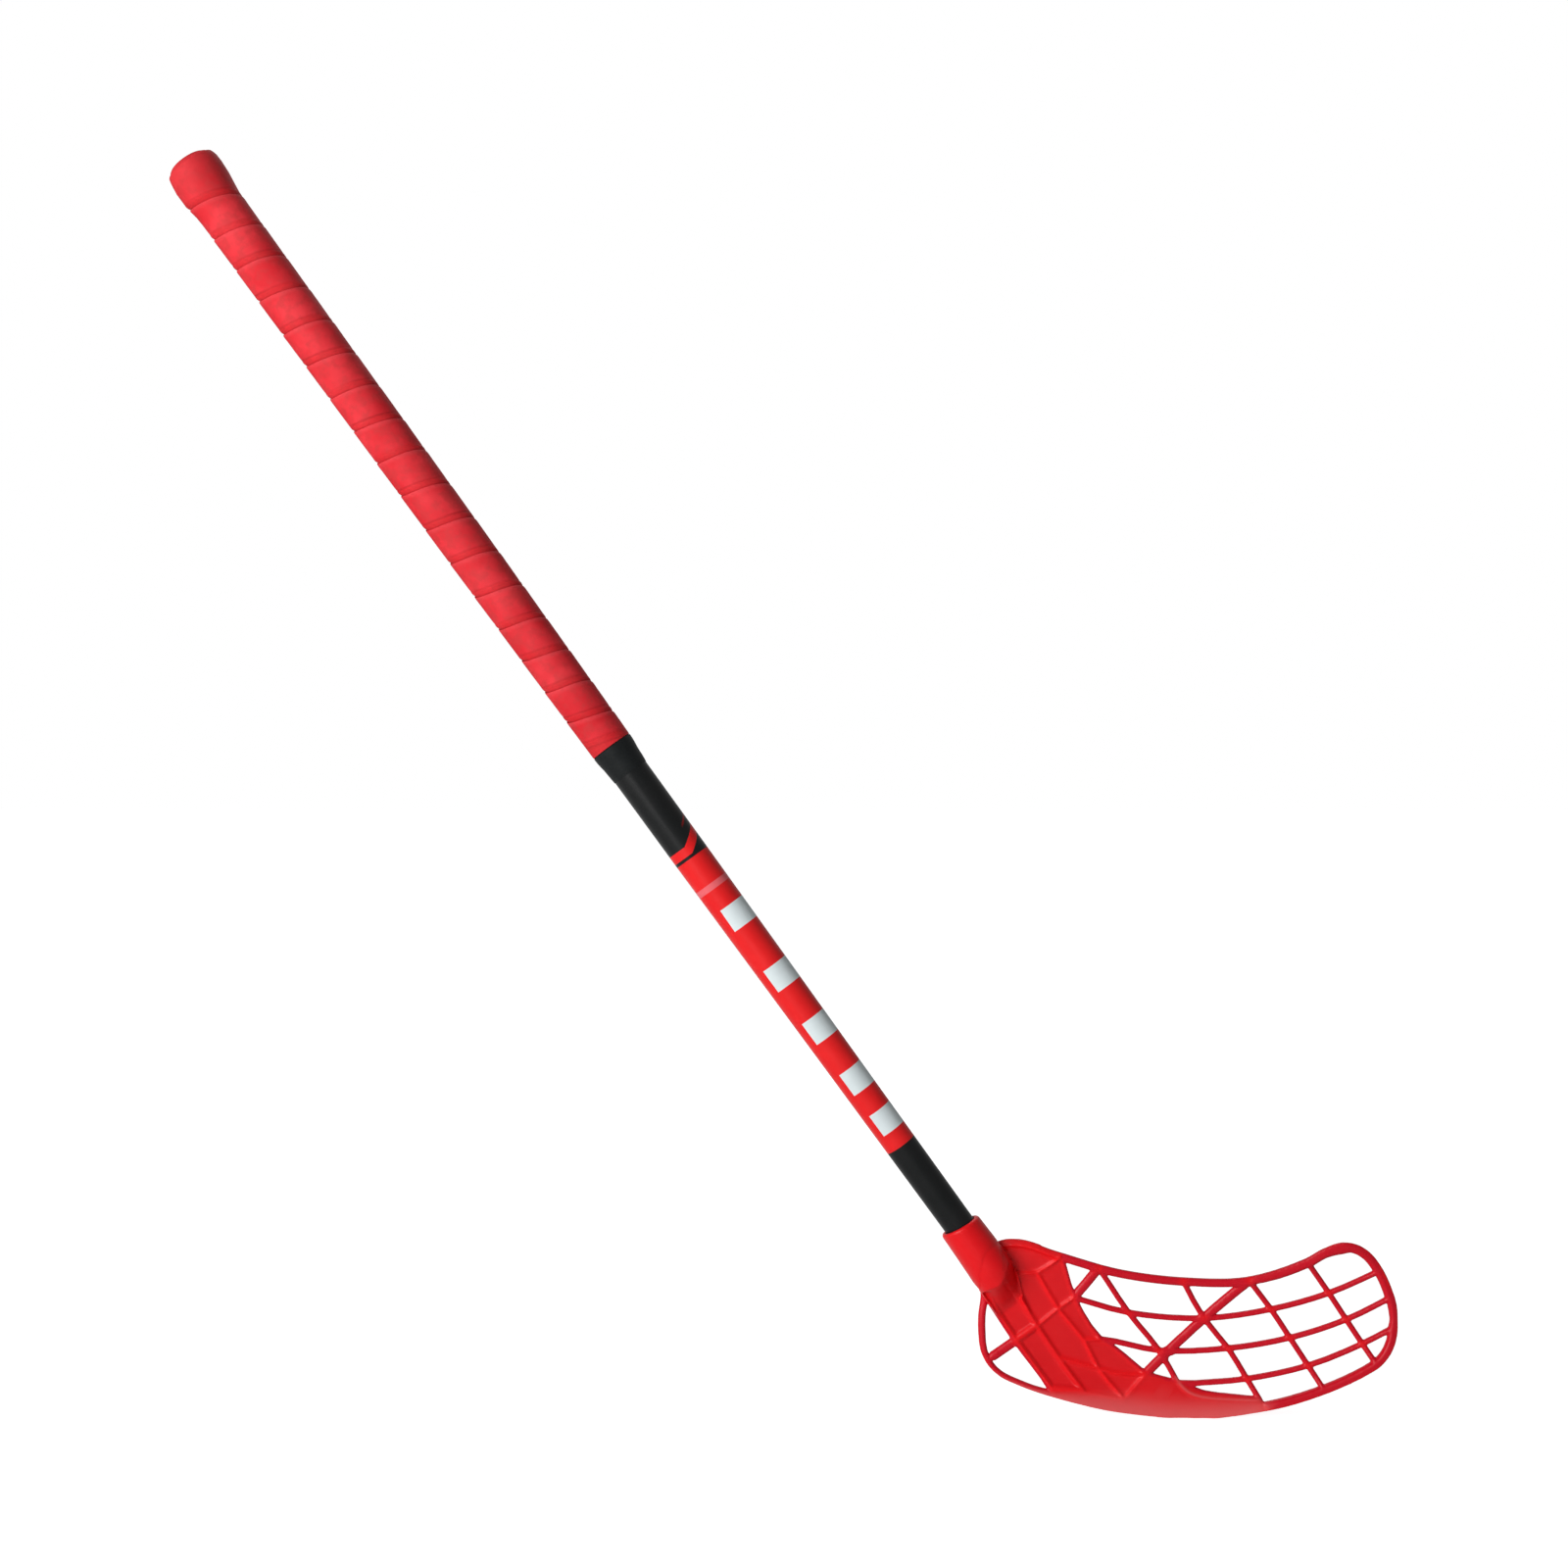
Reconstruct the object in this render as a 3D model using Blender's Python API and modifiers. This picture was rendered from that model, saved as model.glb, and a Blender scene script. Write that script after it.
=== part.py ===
"""A floorball stick: a hollow composite shaft with a wound grip, and a moulded lattice blade screwed to its foot.

The stick stands as in play. X runs from heel to toe, Y away from the striking side, Z up, and the origin is
where the sole rests. Lengths are in metres, apart from the blade's drawing, which is in millimetres.
"""

import math

import bmesh
import bpy
from mathutils import Matrix, Vector
from mathutils.geometry import delaunay_2d_cdt, interpolate_bezier

MM = 0.001
FIT_GAP = 0.0003  # between pieces that touch
ROUND_SIDES = 32

# Stance: the shaft's line passes through the hosel's foot, a point of the blade's drawing
LIE_ANGLE = math.radians(54)
HOSEL_FOOT = (-121.2, 79.8)

# Shaft tube: its bore in the hosel, its heights above the hosel's mouth, and its outer diameters there
SHAFT_LENGTH = 0.905
SHAFT_WALL = 0.0015
FOOT_DIAMETER = 0.0206
LOWER_HEIGHT = 0.088
LOWER_DIAMETER = 0.0216
WAIST_HEIGHT = 0.300
WAIST_DIAMETER = 0.0244
GRIP_END_DIAMETER = 0.0249
GRIP_MIDDLE_HEIGHT = 0.560
GRIP_MIDDLE_DIAMETER = 0.0270
TOP_DIAMETER = 0.0286

# Printed zones of the shaft, as heights above the hosel's mouth
FOOT_BLACK_TOP = 0.064
UPPER_BLACK_FOOT = 0.306
STRIPE_HEIGHT = 0.0062
LINE_HEIGHT = 0.0022
PALE_BAND_HEIGHT = 0.2725
PALE_BAND_WIDTH = 0.0045
BLOCK_HEIGHT = 0.0168
BLOCK_FEET = (0.2417, 0.1930, 0.1502, 0.1088, 0.0760)
BLOCK_START = math.radians(-28)  # from the front, towards the toe side
BLOCK_SWEEP = math.radians(150)

# Grip: a band wound down from the butt, over a build-up ring that makes the knob
GRIP_LENGTH = 0.4734
TAPE_THICKNESS = 0.0016
TAPE_PITCH = 0.0266
TAPE_OVERLAP = 0.0015
TAPE_STEP = 0.0003  # how far an upper edge stands proud of the turn above it
TAPE_SHOULDER = 0.00015  # how far the tape has thinned where its lower edge begins
LAP_GAP = 0.0005
GROOVE_HEIGHT = 0.8384  # of one turn's upper edge, on the heel side
TAPE_TIP = 0.0025  # width of the tape's cut ends past their laps
TAPE_END_GAP = 0.0065  # as a share of a turn, between a cut end and the tape that passes it
TAPE_LOOP_POINTS = 24
KNOB_RISE = 0.0022
KNOB_CORNER = 0.013
KNOB_CORNER_DROP = 0.0030
KNOB_SHOULDER = 0.016
KNOB_LENGTH = 0.036
RING_CLEARANCE = 0.0007
RING_EDGE = 0.0004  # the ring's thickness at its ends

# Butt cap
CAP_FLANGE = 0.003
CAP_EDGE = 0.0014
CAP_SHOWN = 0.0022  # how far the cap stands past the grip
CAP_SKIRT = 0.026
CAP_WALL = 0.002

# Finishing band under the grip
BAND_LENGTH = 0.021
BAND_UPPER_THICKNESS = 0.0016
BAND_LOWER_THICKNESS = 0.0005
BAND_SHOULDER = 0.004

# Blade: overall size, and the size at which it is drawn
BLADE_LENGTH = 0.2763
BLADE_HEIGHT = 0.1174
DRAWN_LENGTH = 276.3
DRAWN_HEIGHT = 117.4
DRAWN_HEEL = -143.1
EYE_POINT = (-0.271, 0.417)  # the drawing is a view from this X and Z, at a distance from the shaft's plane
EYE_DISTANCE = 1.7
RIM_CREST = 4.4  # from the outline to the rim's crest, in the drawing's millimetres
HEEL_RIM_CREST = 3.0
HEEL_SOLE_CREST = 1.8
TOP_RIM_CREST = 3.6
RIB_WIDTH = 0.0030
RIDGE_WIDTH = 0.0026
OUTLINE_DEPTH = 0.0038
RIM_DEPTH = 0.0064
RIB_DEPTH = 0.0046
WINDOW_EDGE_DEPTH = 0.0034
SPINE_DEPTH = 0.0052
PANEL_DEPTH = 0.0024
LIP_DEPTH = 0.0040
SETBACK = 0.008  # of the web's middle behind the shaft's line
HOOK = 0.015  # of the toe towards the striking side
TOP_FLARE = 0.0045
LINE_SPACING = 11.0
LINE_TURN = math.radians(15)
LEAST_SPAN = 0.0045  # between a crossing and the next point of a line
LEAST_WINDOW = 0.00004  # square metres; a smaller cell is solid

# Hosel and its screws
HOSEL_DEPTH = 0.045  # of its bore
HOSEL_WALL = 0.0033
MOUTH_LIP = 0.0013
MOUTH_EDGE = 0.0004  # how far the hosel has widened below the lip
MOUTH_TILT = math.radians(7)  # down from the heel side to the toe side
COLLAR_HEIGHT = 0.020  # of the mouth's straight part
# The neck's sections below the bore: height above its floor, shift to the heel and to the back, and how much
# narrower and flatter each is than the hosel
NECK_SECTIONS = (
    (0.007, 0.0003, 0, -0.0004, -0.0001),
    (-0.002, 0.0008, 0.0004, -0.0001, 0.0006),
    (-0.011, 0.0025, 0.0035, 0.0013, 0.0049),
    (-0.021, 0.0045, 0.0060, 0.0033, 0.0083),
    (-0.035, 0.0055, 0.0075, 0.0043, 0.0105),
)
NECK_FOOT = (-0.051, 0.0058, 0.0047)  # the last section's height, shift to the heel, and how much narrower it is
NECK_SINK = 0.0006  # of its face below the spine's
SCREW_HEIGHTS = (-0.013, -0.031)
SCREW_SHANK = 0.0029
SCREW_HEAD = 0.0055
SCREW_HEAD_HEIGHT = 0.0016
SCREW_TIP = 0.0012  # past the tube's wall
TIP_TAPER = 0.001
SEAT_DEPTH = 0.0013
HOLE_GAP = 0.0003
CUT_REACH = 0.004  # how far a cutter starts before what it cuts

# The blade's drawing: points seen from the striking side, as millimetres right of the sole's rest and above it
OUTLINE = (
    (-141.5, 81), (-142.5, 95), (-139, 108.5), (-130, 116), (-116, 117.4), (-92, 110), (-49, 97.8), (-3, 92.3), (34, 93),
    (72, 104.8), (84, 111.4), (96.5, 115.5), (108, 113.5), (118, 105.6), (131, 79.4), (133.2, 64.5), (131.6, 50.5),
    (128.3, 42.3), (122.3, 34.6), (113, 28.5), (101, 22.4), (82, 14.6), (58, 7.2), (30.5, 2), (8, -0.5),
    (-12, -0.3), (-36, 1.9), (-60, 5.3), (-98, 15), (-117, 21.8), (-129, 27.6), (-136.2, 34.2), (-141.4, 44),
    (-143.1, 56), (-143.1, 68),
)
NODES = {
    "web_top": (-88.6, 106.2), "web_upper": (-80.3, 79.4), "web_middle": (-62.7, 52), "web_lower": (-55.5, 47.4),
    "web_foot": (-33.2, 29), "neck_front": (-126.5, 95.5), "ridge_top": (-104.5, 96.1),
    "ridge_upper": (-90.3, 72.3), "ridge_lower": (-73.5, 51.6), "ridge_foot": (-63.9, 32.9), "lip_peak": (-47.1, 12.9),
    "step_upper": (-103.9, 61.3), "step_lower": (-89.7, 40), "step_foot": (-72.9, 17.4),
    "spine_top": (-135.2, 76.1), "spine_middle": (-118.7, 51), "spine_foot": (-95.5, 19.2),
    "cross_low": (-51.6, 29.7), "a0": (-63.9, 98.9), "a1": (-44.2, 69.5), "a2": (-24.1, 44.6), "a3": (-11.8, 23.2),
    "b0": (-7.9, 89.8), "b1": (5.4, 65.8), "b2": (21.4, 46), "b3": (33.7, 25.9), "b4": (42, 12.3),
    "c0": (35.2, 90.8), "c1": (49.6, 71.7), "c2": (62, 52.9), "c3": (74, 34.6), "c4": (83.6, 20),
    "d1": (87.7, 82.3), "d2": (99.1, 64.9), "d3": (109.7, 48.9), "lip_start": (5.2, 16.5), "lip_end": (23.2, 14.2),
}
# Each rib, ridge and edge, by node names and by free points; an end past the outline runs through the rim
ROUTES = (
    ("web_upper", "a1", "b1", "c1", "d1", (129.5, 100.8)),
    ("ridge_lower", "web_middle", "a2", "b2", "c2", "d2", (137, 83.9)),
    ("step_lower", "ridge_foot", "cross_low", "web_foot", "a3", (11.2, 23.8), "b3", "c3", "d3", (138, 63.9)),
    ((-70, 107.3), "a0", "a1", "a2", "a3"),
    ((-10.2, 94.8), "b0", "b1", "b2", "b3", "b4", (47.5, 0)),
    ((31.4, 96.4), "c0", "c1", "c2", "c3", "c4", (88.6, 12.5)),
    ((69.3, 108.8), "d1", "d2", "d3", (123.3, 29)),
    ((-55, 106.8), "a0", "web_upper", "ridge_upper", "step_upper", "spine_middle", (-142.2, 34.8)),
    ((42.2, 96.4), "c0", "b1", "web_foot", "lip_peak"),
    ((-91.4, 114), "web_top", "web_upper", "web_middle", "web_lower", "web_foot"),
    ((-146, 94), "neck_front", "ridge_top", "web_top", (-79, 111)),
    ("neck_front", "step_upper", "step_lower", "step_foot"),
    ("ridge_top", "ridge_upper", "ridge_lower", "ridge_foot", "lip_peak"),
    ((-143, 88), "spine_top", "spine_middle", "spine_foot", (-90.5, 9)),
    ("spine_foot", "step_foot", "lip_peak"),
    ("a3", "lip_start", "lip_end", "b4"),
)
# The parts of the blade with no windows, by the nodes round them
WEB_REGION = (
    (-150, 94), "neck_front", (-128, 120), (-88, 112), "web_top", "web_upper", "web_middle", "web_lower", "web_foot",
    "a3", "lip_start", "lip_end", "b4", (53, 0), (8, -8), (-100, -8), "spine_foot", "spine_middle", "spine_top",
)
SPINE_REGION = (
    (-150, 94), "neck_front", "step_upper", "step_lower", "step_foot", "spine_foot", "spine_middle", "spine_top",
)
LIP_REGION = (
    "spine_foot", "step_foot", "lip_peak", "web_foot", "a3", "lip_start", "lip_end", "b4", (53, 0), (8, -8),
    (-100, -8),
)

# Colours, as linear red, green and blue
RED_LACQUER = (0.72, 0.012, 0.014)
BLACK_LACQUER = (0.012, 0.012, 0.013)
WHITE_LACQUER = (0.80, 0.86, 0.88)
PALE_LACQUER = (0.80, 0.22, 0.22)
RED_TAPE = (0.72, 0.030, 0.040)
BLACK_TAPE = (0.018, 0.019, 0.020)
RED_BLADE = (0.66, 0.008, 0.014)
SCREW_STEEL = (0.55, 0.55, 0.56)
GREY_FOAM = (0.20, 0.20, 0.21)


def clear_scene():
    """Removes what the startup scene holds."""
    for obj in list(bpy.data.objects):
        bpy.data.objects.remove(obj)


def collection(name):
    """A collection linked to the scene."""
    made = bpy.data.collections.new(name)
    bpy.context.scene.collection.children.link(made)
    return made


def finish(name, colour, roughness, metallic=0.0):
    """A Principled material of one colour."""
    material = bpy.data.materials.new(name)
    material.use_nodes = True
    shader = material.node_tree.nodes["Principled BSDF"]
    shader.inputs["Base Color"].default_value = (*colour, 1)
    shader.inputs["Roughness"].default_value = roughness
    shader.inputs["Metallic"].default_value = metallic
    return material


def make_object(name, mesh, home, materials=()):
    """An object that shows the mesh, in the collection home, shaded smooth where its faces meet gently."""
    for material in materials:
        mesh.materials.append(material)
    obj = bpy.data.objects.new(name, mesh)
    home.objects.link(obj)
    return obj


def mesh_from(bm, name):
    """A mesh with the shape of bm, which is freed."""
    mesh = bpy.data.meshes.new(name)
    bm.to_mesh(mesh)
    bm.free()
    mesh.shade_smooth()
    mesh.set_sharp_from_angle(angle=math.radians(35))
    return mesh


def turned(name, profile, home, material, sides=ROUND_SIDES):
    """A closed profile of radius and height points, its outer side first from top to bottom, turned about Z."""
    bm = bmesh.new()
    verts = [bm.verts.new((radius, 0, height)) for radius, height in profile]
    on_axis = profile[0][0] == 0
    for start, end in zip(verts, verts[1:] if on_axis else verts[1:] + verts[:1]):
        bm.edges.new((start, end))
    obj = make_object(name, mesh_from(bm, name), home, [material])
    turn = obj.modifiers.new("Turn", "SCREW")
    turn.steps = turn.render_steps = sides
    turn.use_merge_vertices = True
    turn.merge_threshold = 0.00001
    return obj


def as_mesh(obj):
    """The object with its modifiers applied."""
    graph = bpy.context.evaluated_depsgraph_get()
    mesh = bpy.data.meshes.new_from_object(obj.evaluated_get(graph))
    obj.modifiers.clear()
    obj.data = mesh
    return obj


def helper(obj, parent=None):
    """Marks an object that only cuts or joins, and isn't a piece of the stick."""
    obj.hide_render = True
    obj.display_type = "WIRE"
    obj.parent = parent
    return obj


def rod(name, radius, low, high, home, sides=ROUND_SIDES):
    """A plain cylinder about Z from low to high, for use as a cutter."""
    bm = bmesh.new()
    middle = Matrix.Translation((0, 0, (low + high) / 2))
    bmesh.ops.create_cone(
        bm, cap_ends=True, segments=sides, radius1=radius, radius2=radius, depth=high - low, matrix=middle
    )
    return make_object(name, mesh_from(bm, name), home)


def combine(target, other, operation):
    """Adds a Boolean of the other object to the target."""
    step = target.modifiers.new(other.name, "BOOLEAN")
    step.operation = operation
    step.object = other
    step.solver = "EXACT"


def smooth_line(knots, closed=False):
    """Points a fixed spacing apart on a curve through the knots, whose handles follow the spans on both sides."""
    points = [Vector(knot) for knot in knots]
    spans = [(points[i], points[(i + 1) % len(points)]) for i in range(len(points) if closed else len(points) - 1)]
    headings = [(end - start).normalized() for start, end in spans]
    if closed:
        tangents = [(headings[i - 1] + headings[i]).normalized() for i in range(len(points))]
    else:
        inner = [(before + after).normalized() for before, after in zip(headings, headings[1:])]
        tangents = [headings[0], *inner, headings[-1]]
    line = []
    for i, (start, end) in enumerate(spans):
        reach = (end - start).length / 3
        bend = tangents[i].angle(tangents[(i + 1) % len(points)])
        steps = max(1, round((end - start).length / LINE_SPACING), round(bend / LINE_TURN))
        handle_out = start + tangents[i] * reach
        handle_in = end - tangents[(i + 1) % len(points)] * reach
        curve = interpolate_bezier(start, handle_out, handle_in, end, steps + 1)
        line.extend(point.to_2d() for point in curve[:-1])
    return line if closed else [*line, points[-1]]


def place(point):
    """A named node of the drawing, or the free point itself."""
    return NODES[point] if isinstance(point, str) else point


def inside(point, region):
    """Whether a point of the drawing lies inside a closed line."""
    crossings = 0
    for start, end in zip(region, [*region[1:], region[0]]):
        if (start[1] > point[1]) != (end[1] > point[1]):
            share = (point[1] - start[1]) / (end[1] - start[1])
            crossings += point[0] < start[0] + share * (end[0] - start[0])
    return crossings % 2 == 1


def blend(value, low, high):
    """Rises smoothly from 0 to 1 as the value goes from low to high."""
    share = min(max((value - low) / (high - low), 0), 1)
    return share * share * (3 - 2 * share)


def crest_line(outline):
    """The outline drawn in to the rim's crest, which lies nearer the edge along the heel. The outline is clockwise."""
    line = []
    for before, point, after in zip([outline[-1], *outline[:-1]], outline, [*outline[1:], outline[0]]):
        heading = (after - before).normalized()
        heel_crest = HEEL_SOLE_CREST + (HEEL_RIM_CREST - HEEL_SOLE_CREST) * blend(point.y, 32, 50)
        at_heel = (1 - blend(point.x, -100, -80)) * (1 - blend(point.y, 80, 100))
        on_top = blend(point.y, 86, 90) * (1 - blend(point.x, 30, 60))
        offset = RIM_CREST + (heel_crest - RIM_CREST) * at_heel + (TOP_RIM_CREST - RIM_CREST) * on_top
        line.append(point + Vector((heading.y, -heading.x)) * offset)
    return line


def cells_of_drawing(outline, crest):
    """The drawing cut into cells by the outline, the rim's crest and every route: points, and point numbers."""
    points = []
    edges = []
    lines = [(outline, True), (crest, True)]
    lines += [(smooth_line([place(stop) for stop in route]), False) for route in ROUTES]
    for line, closed in lines:
        first = len(points)
        points.extend(line)
        edges.extend((i, i + 1) for i in range(first, len(points) - 1))
        if closed:
            edges.append((len(points) - 1, first))
    constraints_only = 3
    found = delaunay_2d_cdt(points, edges, [], constraints_only, 0.01)
    return found[0], found[2]


def kind_of_cell(corners, outline, crest):
    """Names the cell of the drawing that has these corners."""
    if any(near_line(corner, outline) for corner in corners):
        return "rim"
    triangles = bmesh.new()
    triangles.faces.new([triangles.verts.new((corner.x, corner.y, 0)) for corner in corners])
    bmesh.ops.triangulate(triangles, faces=triangles.faces[:])
    middle = max(triangles.faces, key=lambda face: face.calc_area()).calc_center_median()
    triangles.free()
    if not inside(middle, crest):
        return "rim"
    for kind, region in (("spine", SPINE_REGION), ("lip", LIP_REGION), ("panel", WEB_REGION)):
        if inside(middle, [place(stop) for stop in region]):
            return kind
    return "window"


def near_line(point, line):
    """Whether a point lies on a closed line of the drawing."""
    for start, end in zip(line, [*line[1:], line[0]]):
        along = end - start
        share = min(max((point - start).dot(along) / along.length_squared, 0), 1)
        if (start + along * share - point).length < 0.02:
            return True
    return False


def node_depth(point, outline, crest):
    """The blade's full depth at a point of the drawing where lines meet."""
    on_lip = blend(point.x, -104, -90) * (1 - blend(point.x, 36, 60)) * (1 - blend(point.y, 22, 34))
    if near_line(point, outline):
        return OUTLINE_DEPTH
    if near_line(point, crest):
        return RIM_DEPTH + (LIP_DEPTH - RIM_DEPTH) * on_lip
    if inside(point, [place(stop) for stop in SPINE_REGION]):
        return SPINE_DEPTH
    return RIB_DEPTH


def blade_middle(x, z):
    """How far the blade's middle surface lies behind the shaft's line, at a point of the drawing in millimetres."""
    along = (x - DRAWN_HEEL) / DRAWN_LENGTH
    curve = HOOK * (max(along - 0.3, 0) / 0.7) ** 2.2
    sole_along = -DRAWN_HEEL / DRAWN_LENGTH
    lip_flare = SETBACK - HOOK * (max(sole_along - 0.3, 0) / 0.7) ** 2.2
    middle_height = 46 + 25 * (x / 125) ** 2
    across = (z - middle_height) / 46
    flare = (lip_flare if across < 0 else TOP_FLARE) * abs(across) ** 3 * blend(x, -140, -70)
    return SETBACK - curve - flare


def world_of_drawing(x, z, y=0.0):
    """The real X and Z, in metres, of a point that the drawing shows at x and z, and that lies y behind its plane."""
    real_x = x * BLADE_LENGTH / DRAWN_LENGTH
    real_z = z * BLADE_HEIGHT / DRAWN_HEIGHT
    eye_x, eye_z = EYE_POINT
    away = 1 + y / EYE_DISTANCE
    return eye_x + (real_x - eye_x) * away, eye_z + (real_z - eye_z) * away


def shortest_edge(vert):
    return min(edge.calc_length() for edge in vert.link_edges)


def lattice_mesh():
    """The blade without its hosel: rim, ribs, ridged web, spine and lip, curved as the real one."""
    outline = smooth_line(OUTLINE, closed=True)
    crest = crest_line(outline)
    points, cells = cells_of_drawing(outline, crest)
    along = BLADE_LENGTH / DRAWN_LENGTH
    up = BLADE_HEIGHT / DRAWN_HEIGHT
    bm = bmesh.new()
    half_depth = bm.verts.layers.float.new("half_depth")
    for point in points:
        vert = bm.verts.new((point.x * along, 0, point.y * up))
        vert[half_depth] = node_depth(point, outline, crest) / 2
    bm.verts.ensure_lookup_table()
    for cell in cells:
        bm.faces.new([bm.verts[i] for i in cell])
    for vert in bm.verts[:]:
        if len(vert.link_edges) == 2 and shortest_edge(vert) < LEAST_SPAN:
            bmesh.ops.dissolve_verts(bm, verts=[vert])
    bm.normal_update()
    groups = {"rim": [], "spine": [], "lip": [], "panel": [], "window": []}
    for face in bm.faces:
        corners = [Vector((vert.co.x / along, vert.co.z / up)) for vert in face.verts]
        kind = kind_of_cell(corners, outline, crest)
        groups["rim" if kind == "window" and face.calc_area() < LEAST_WINDOW else kind].append(face)
    for kind, width, depth in (("window", RIB_WIDTH, WINDOW_EDGE_DEPTH), ("panel", RIDGE_WIDTH, PANEL_DEPTH)):
        bmesh.ops.inset_individual(bm, faces=groups[kind], thickness=width / 2, use_even_offset=True)
        for vert in {vert for face in groups[kind] for vert in face.verts}:
            vert[half_depth] = depth / 2
    bmesh.ops.delete(bm, geom=groups["window"], context="FACES")
    loose = [vert for vert in bm.verts if not vert.link_faces]
    bmesh.ops.delete(bm, geom=loose, context="VERTS")
    front = bm.verts[:]
    grown = bmesh.ops.extrude_face_region(bm, geom=bm.faces[:])["geom"]
    back = [item for item in grown if isinstance(item, bmesh.types.BMVert)]
    for verts, side in ((front, -1), (back, 1)):
        for vert in verts:
            x, z = vert.co.x / along, vert.co.z / up
            middle = blade_middle(x, z)
            real_x, real_z = world_of_drawing(x, z, middle)
            vert.co = (real_x, middle + side * vert[half_depth], real_z)
    bmesh.ops.triangulate(bm, faces=bm.faces[:])
    bmesh.ops.recalc_face_normals(bm, faces=bm.faces[:])
    return mesh_from(bm, "blade")


def shaft_axis():
    """An empty at the middle of the hosel's mouth, whose Z runs up the shaft and whose Y faces the back."""
    up = Vector((-math.cos(LIE_ANGLE), 0, math.sin(LIE_ANGLE)))
    foot_x, foot_z = world_of_drawing(*HOSEL_FOOT)
    axis = bpy.data.objects.new("shaft_axis", None)
    bpy.context.scene.collection.objects.link(axis)
    axis.location = Vector((foot_x, 0, foot_z)) + up * (HOSEL_DEPTH + 0.015)
    axis.rotation_euler = (0, LIE_ANGLE - math.pi / 2, 0)
    bpy.context.view_layer.update()
    return axis


def bore_radius():
    return FOOT_DIAMETER / 2 + FIT_GAP


def hosel_radius():
    return bore_radius() + HOSEL_WALL


def hosel_mesh():
    """The socket and the neck that falls from it into the blade's spine, lofted through oval sections."""
    radius = hosel_radius()
    floor = -HOSEL_DEPTH
    # Each section: its height, its shift to the heel and to the back, its half width and half depth
    foot_height, foot_shift, foot_narrower = NECK_FOOT
    sections = [
        (0, 0, 0, radius - MOUTH_LIP, radius - MOUTH_LIP),
        (-MOUTH_LIP, 0, 0, radius - MOUTH_EDGE, radius - MOUTH_EDGE),
        (-COLLAR_HEIGHT, 0, 0, radius, radius),
    ]
    for height, heelward, back, narrower, flatter in NECK_SECTIONS:
        sections.append((floor + height, heelward, back, radius - narrower, radius - flatter))
    sections.append((floor + foot_height, foot_shift, SETBACK, radius - foot_narrower, SPINE_DEPTH / 2 - NECK_SINK))
    bm = bmesh.new()
    rings = []
    for height, heelward, back, half_width, half_depth in sections:
        before = set(bm.edges)
        tilt = MOUTH_TILT * blend(height, -HOSEL_DEPTH / 2, -MOUTH_LIP)
        place_oval = Matrix.Translation((-heelward, back, height - half_width * math.sin(tilt)))
        oval = place_oval @ Matrix.Rotation(tilt, 4, "Y") @ Matrix.Diagonal((half_width, half_depth, 1, 1))
        is_end = height in (sections[0][0], sections[-1][0])
        bmesh.ops.create_circle(bm, cap_ends=is_end, segments=ROUND_SIDES, radius=1, matrix=oval)
        rings.append([edge for edge in bm.edges if edge not in before])
    for upper, lower in zip(rings, rings[1:]):
        bmesh.ops.bridge_loops(bm, edges=upper + lower)
    bmesh.ops.recalc_face_normals(bm, faces=bm.faces[:])
    return mesh_from(bm, "hosel")


def make_blade(axis, home, cutters, material):
    """The blade as one moulding: lattice and hosel joined, then bored, drilled and cut flat at the sole."""
    blade = make_object("blade", lattice_mesh(), home, [material])
    hosel = helper(make_object("hosel_form", hosel_mesh(), cutters, [material]), axis)
    combine(blade, hosel, "UNION")
    bore = helper(rod("hosel_bore", bore_radius(), -HOSEL_DEPTH, CUT_REACH, cutters), axis)
    combine(blade, bore, "DIFFERENCE")
    low = bore_radius() - CUT_REACH
    high = hosel_radius() + CUT_REACH
    for number, height in enumerate(SCREW_HEIGHTS, start=1):
        hole = rod(f"hosel_hole_{number}", SCREW_SHANK / 2 + HOLE_GAP, low, high, cutters, 16)
        seat = rod(f"hosel_seat_{number}", SCREW_HEAD / 2 + HOLE_GAP, hosel_radius() - SEAT_DEPTH, high, cutters, 16)
        for cutter in (hole, seat):
            face_back(helper(cutter, axis), height)
            combine(blade, cutter, "DIFFERENCE")
    bm = bmesh.new()
    below = Matrix.Diagonal((BLADE_LENGTH * 2, BLADE_HEIGHT * 2, BLADE_HEIGHT, 1))
    below.translation.z = -BLADE_HEIGHT / 2
    bmesh.ops.create_cube(bm, size=1, matrix=below)
    floor = helper(make_object("sole_cut", mesh_from(bm, "sole_cut"), cutters))
    combine(blade, floor, "DIFFERENCE")
    return blade


def face_back(obj, height):
    """Turns a piece on the shaft's axis, so that its own Z points out of the stick's back at this height."""
    obj.location = (0, 0, height)
    obj.rotation_euler = (-math.pi / 2, 0, 0)


def make_screws(axis, home, material):
    """The screws that hold the blade: each passes the hosel's back wall and bites the tube's wall."""
    head_foot = hosel_radius() - SEAT_DEPTH + FIT_GAP
    head_top = head_foot + SCREW_HEAD_HEIGHT
    tip = FOOT_DIAMETER / 2 - SHAFT_WALL - SCREW_TIP
    shank = SCREW_SHANK / 2
    head = SCREW_HEAD / 2
    profile = (
        (0, head_top), (head * 0.62, head_top), (head * 0.9, head_top - SCREW_HEAD_HEIGHT * 0.3125),
        (head, head_top - SCREW_HEAD_HEIGHT * 0.6875), (head, head_foot), (shank, head_foot),
        (shank, tip + TIP_TAPER), (shank * 0.4, tip), (0, tip),
    )
    for number, height in enumerate(SCREW_HEIGHTS, start=1):
        screw = turned(f"blade_screw_{number}", profile, home, material, sides=16)
        screw.parent = axis
        face_back(screw, height)


def shaft_foot():
    return FIT_GAP - HOSEL_DEPTH


def shaft_top():
    return shaft_foot() + SHAFT_LENGTH


def grip_top():
    return shaft_top() + FIT_GAP + CAP_FLANGE - CAP_SHOWN


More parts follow.
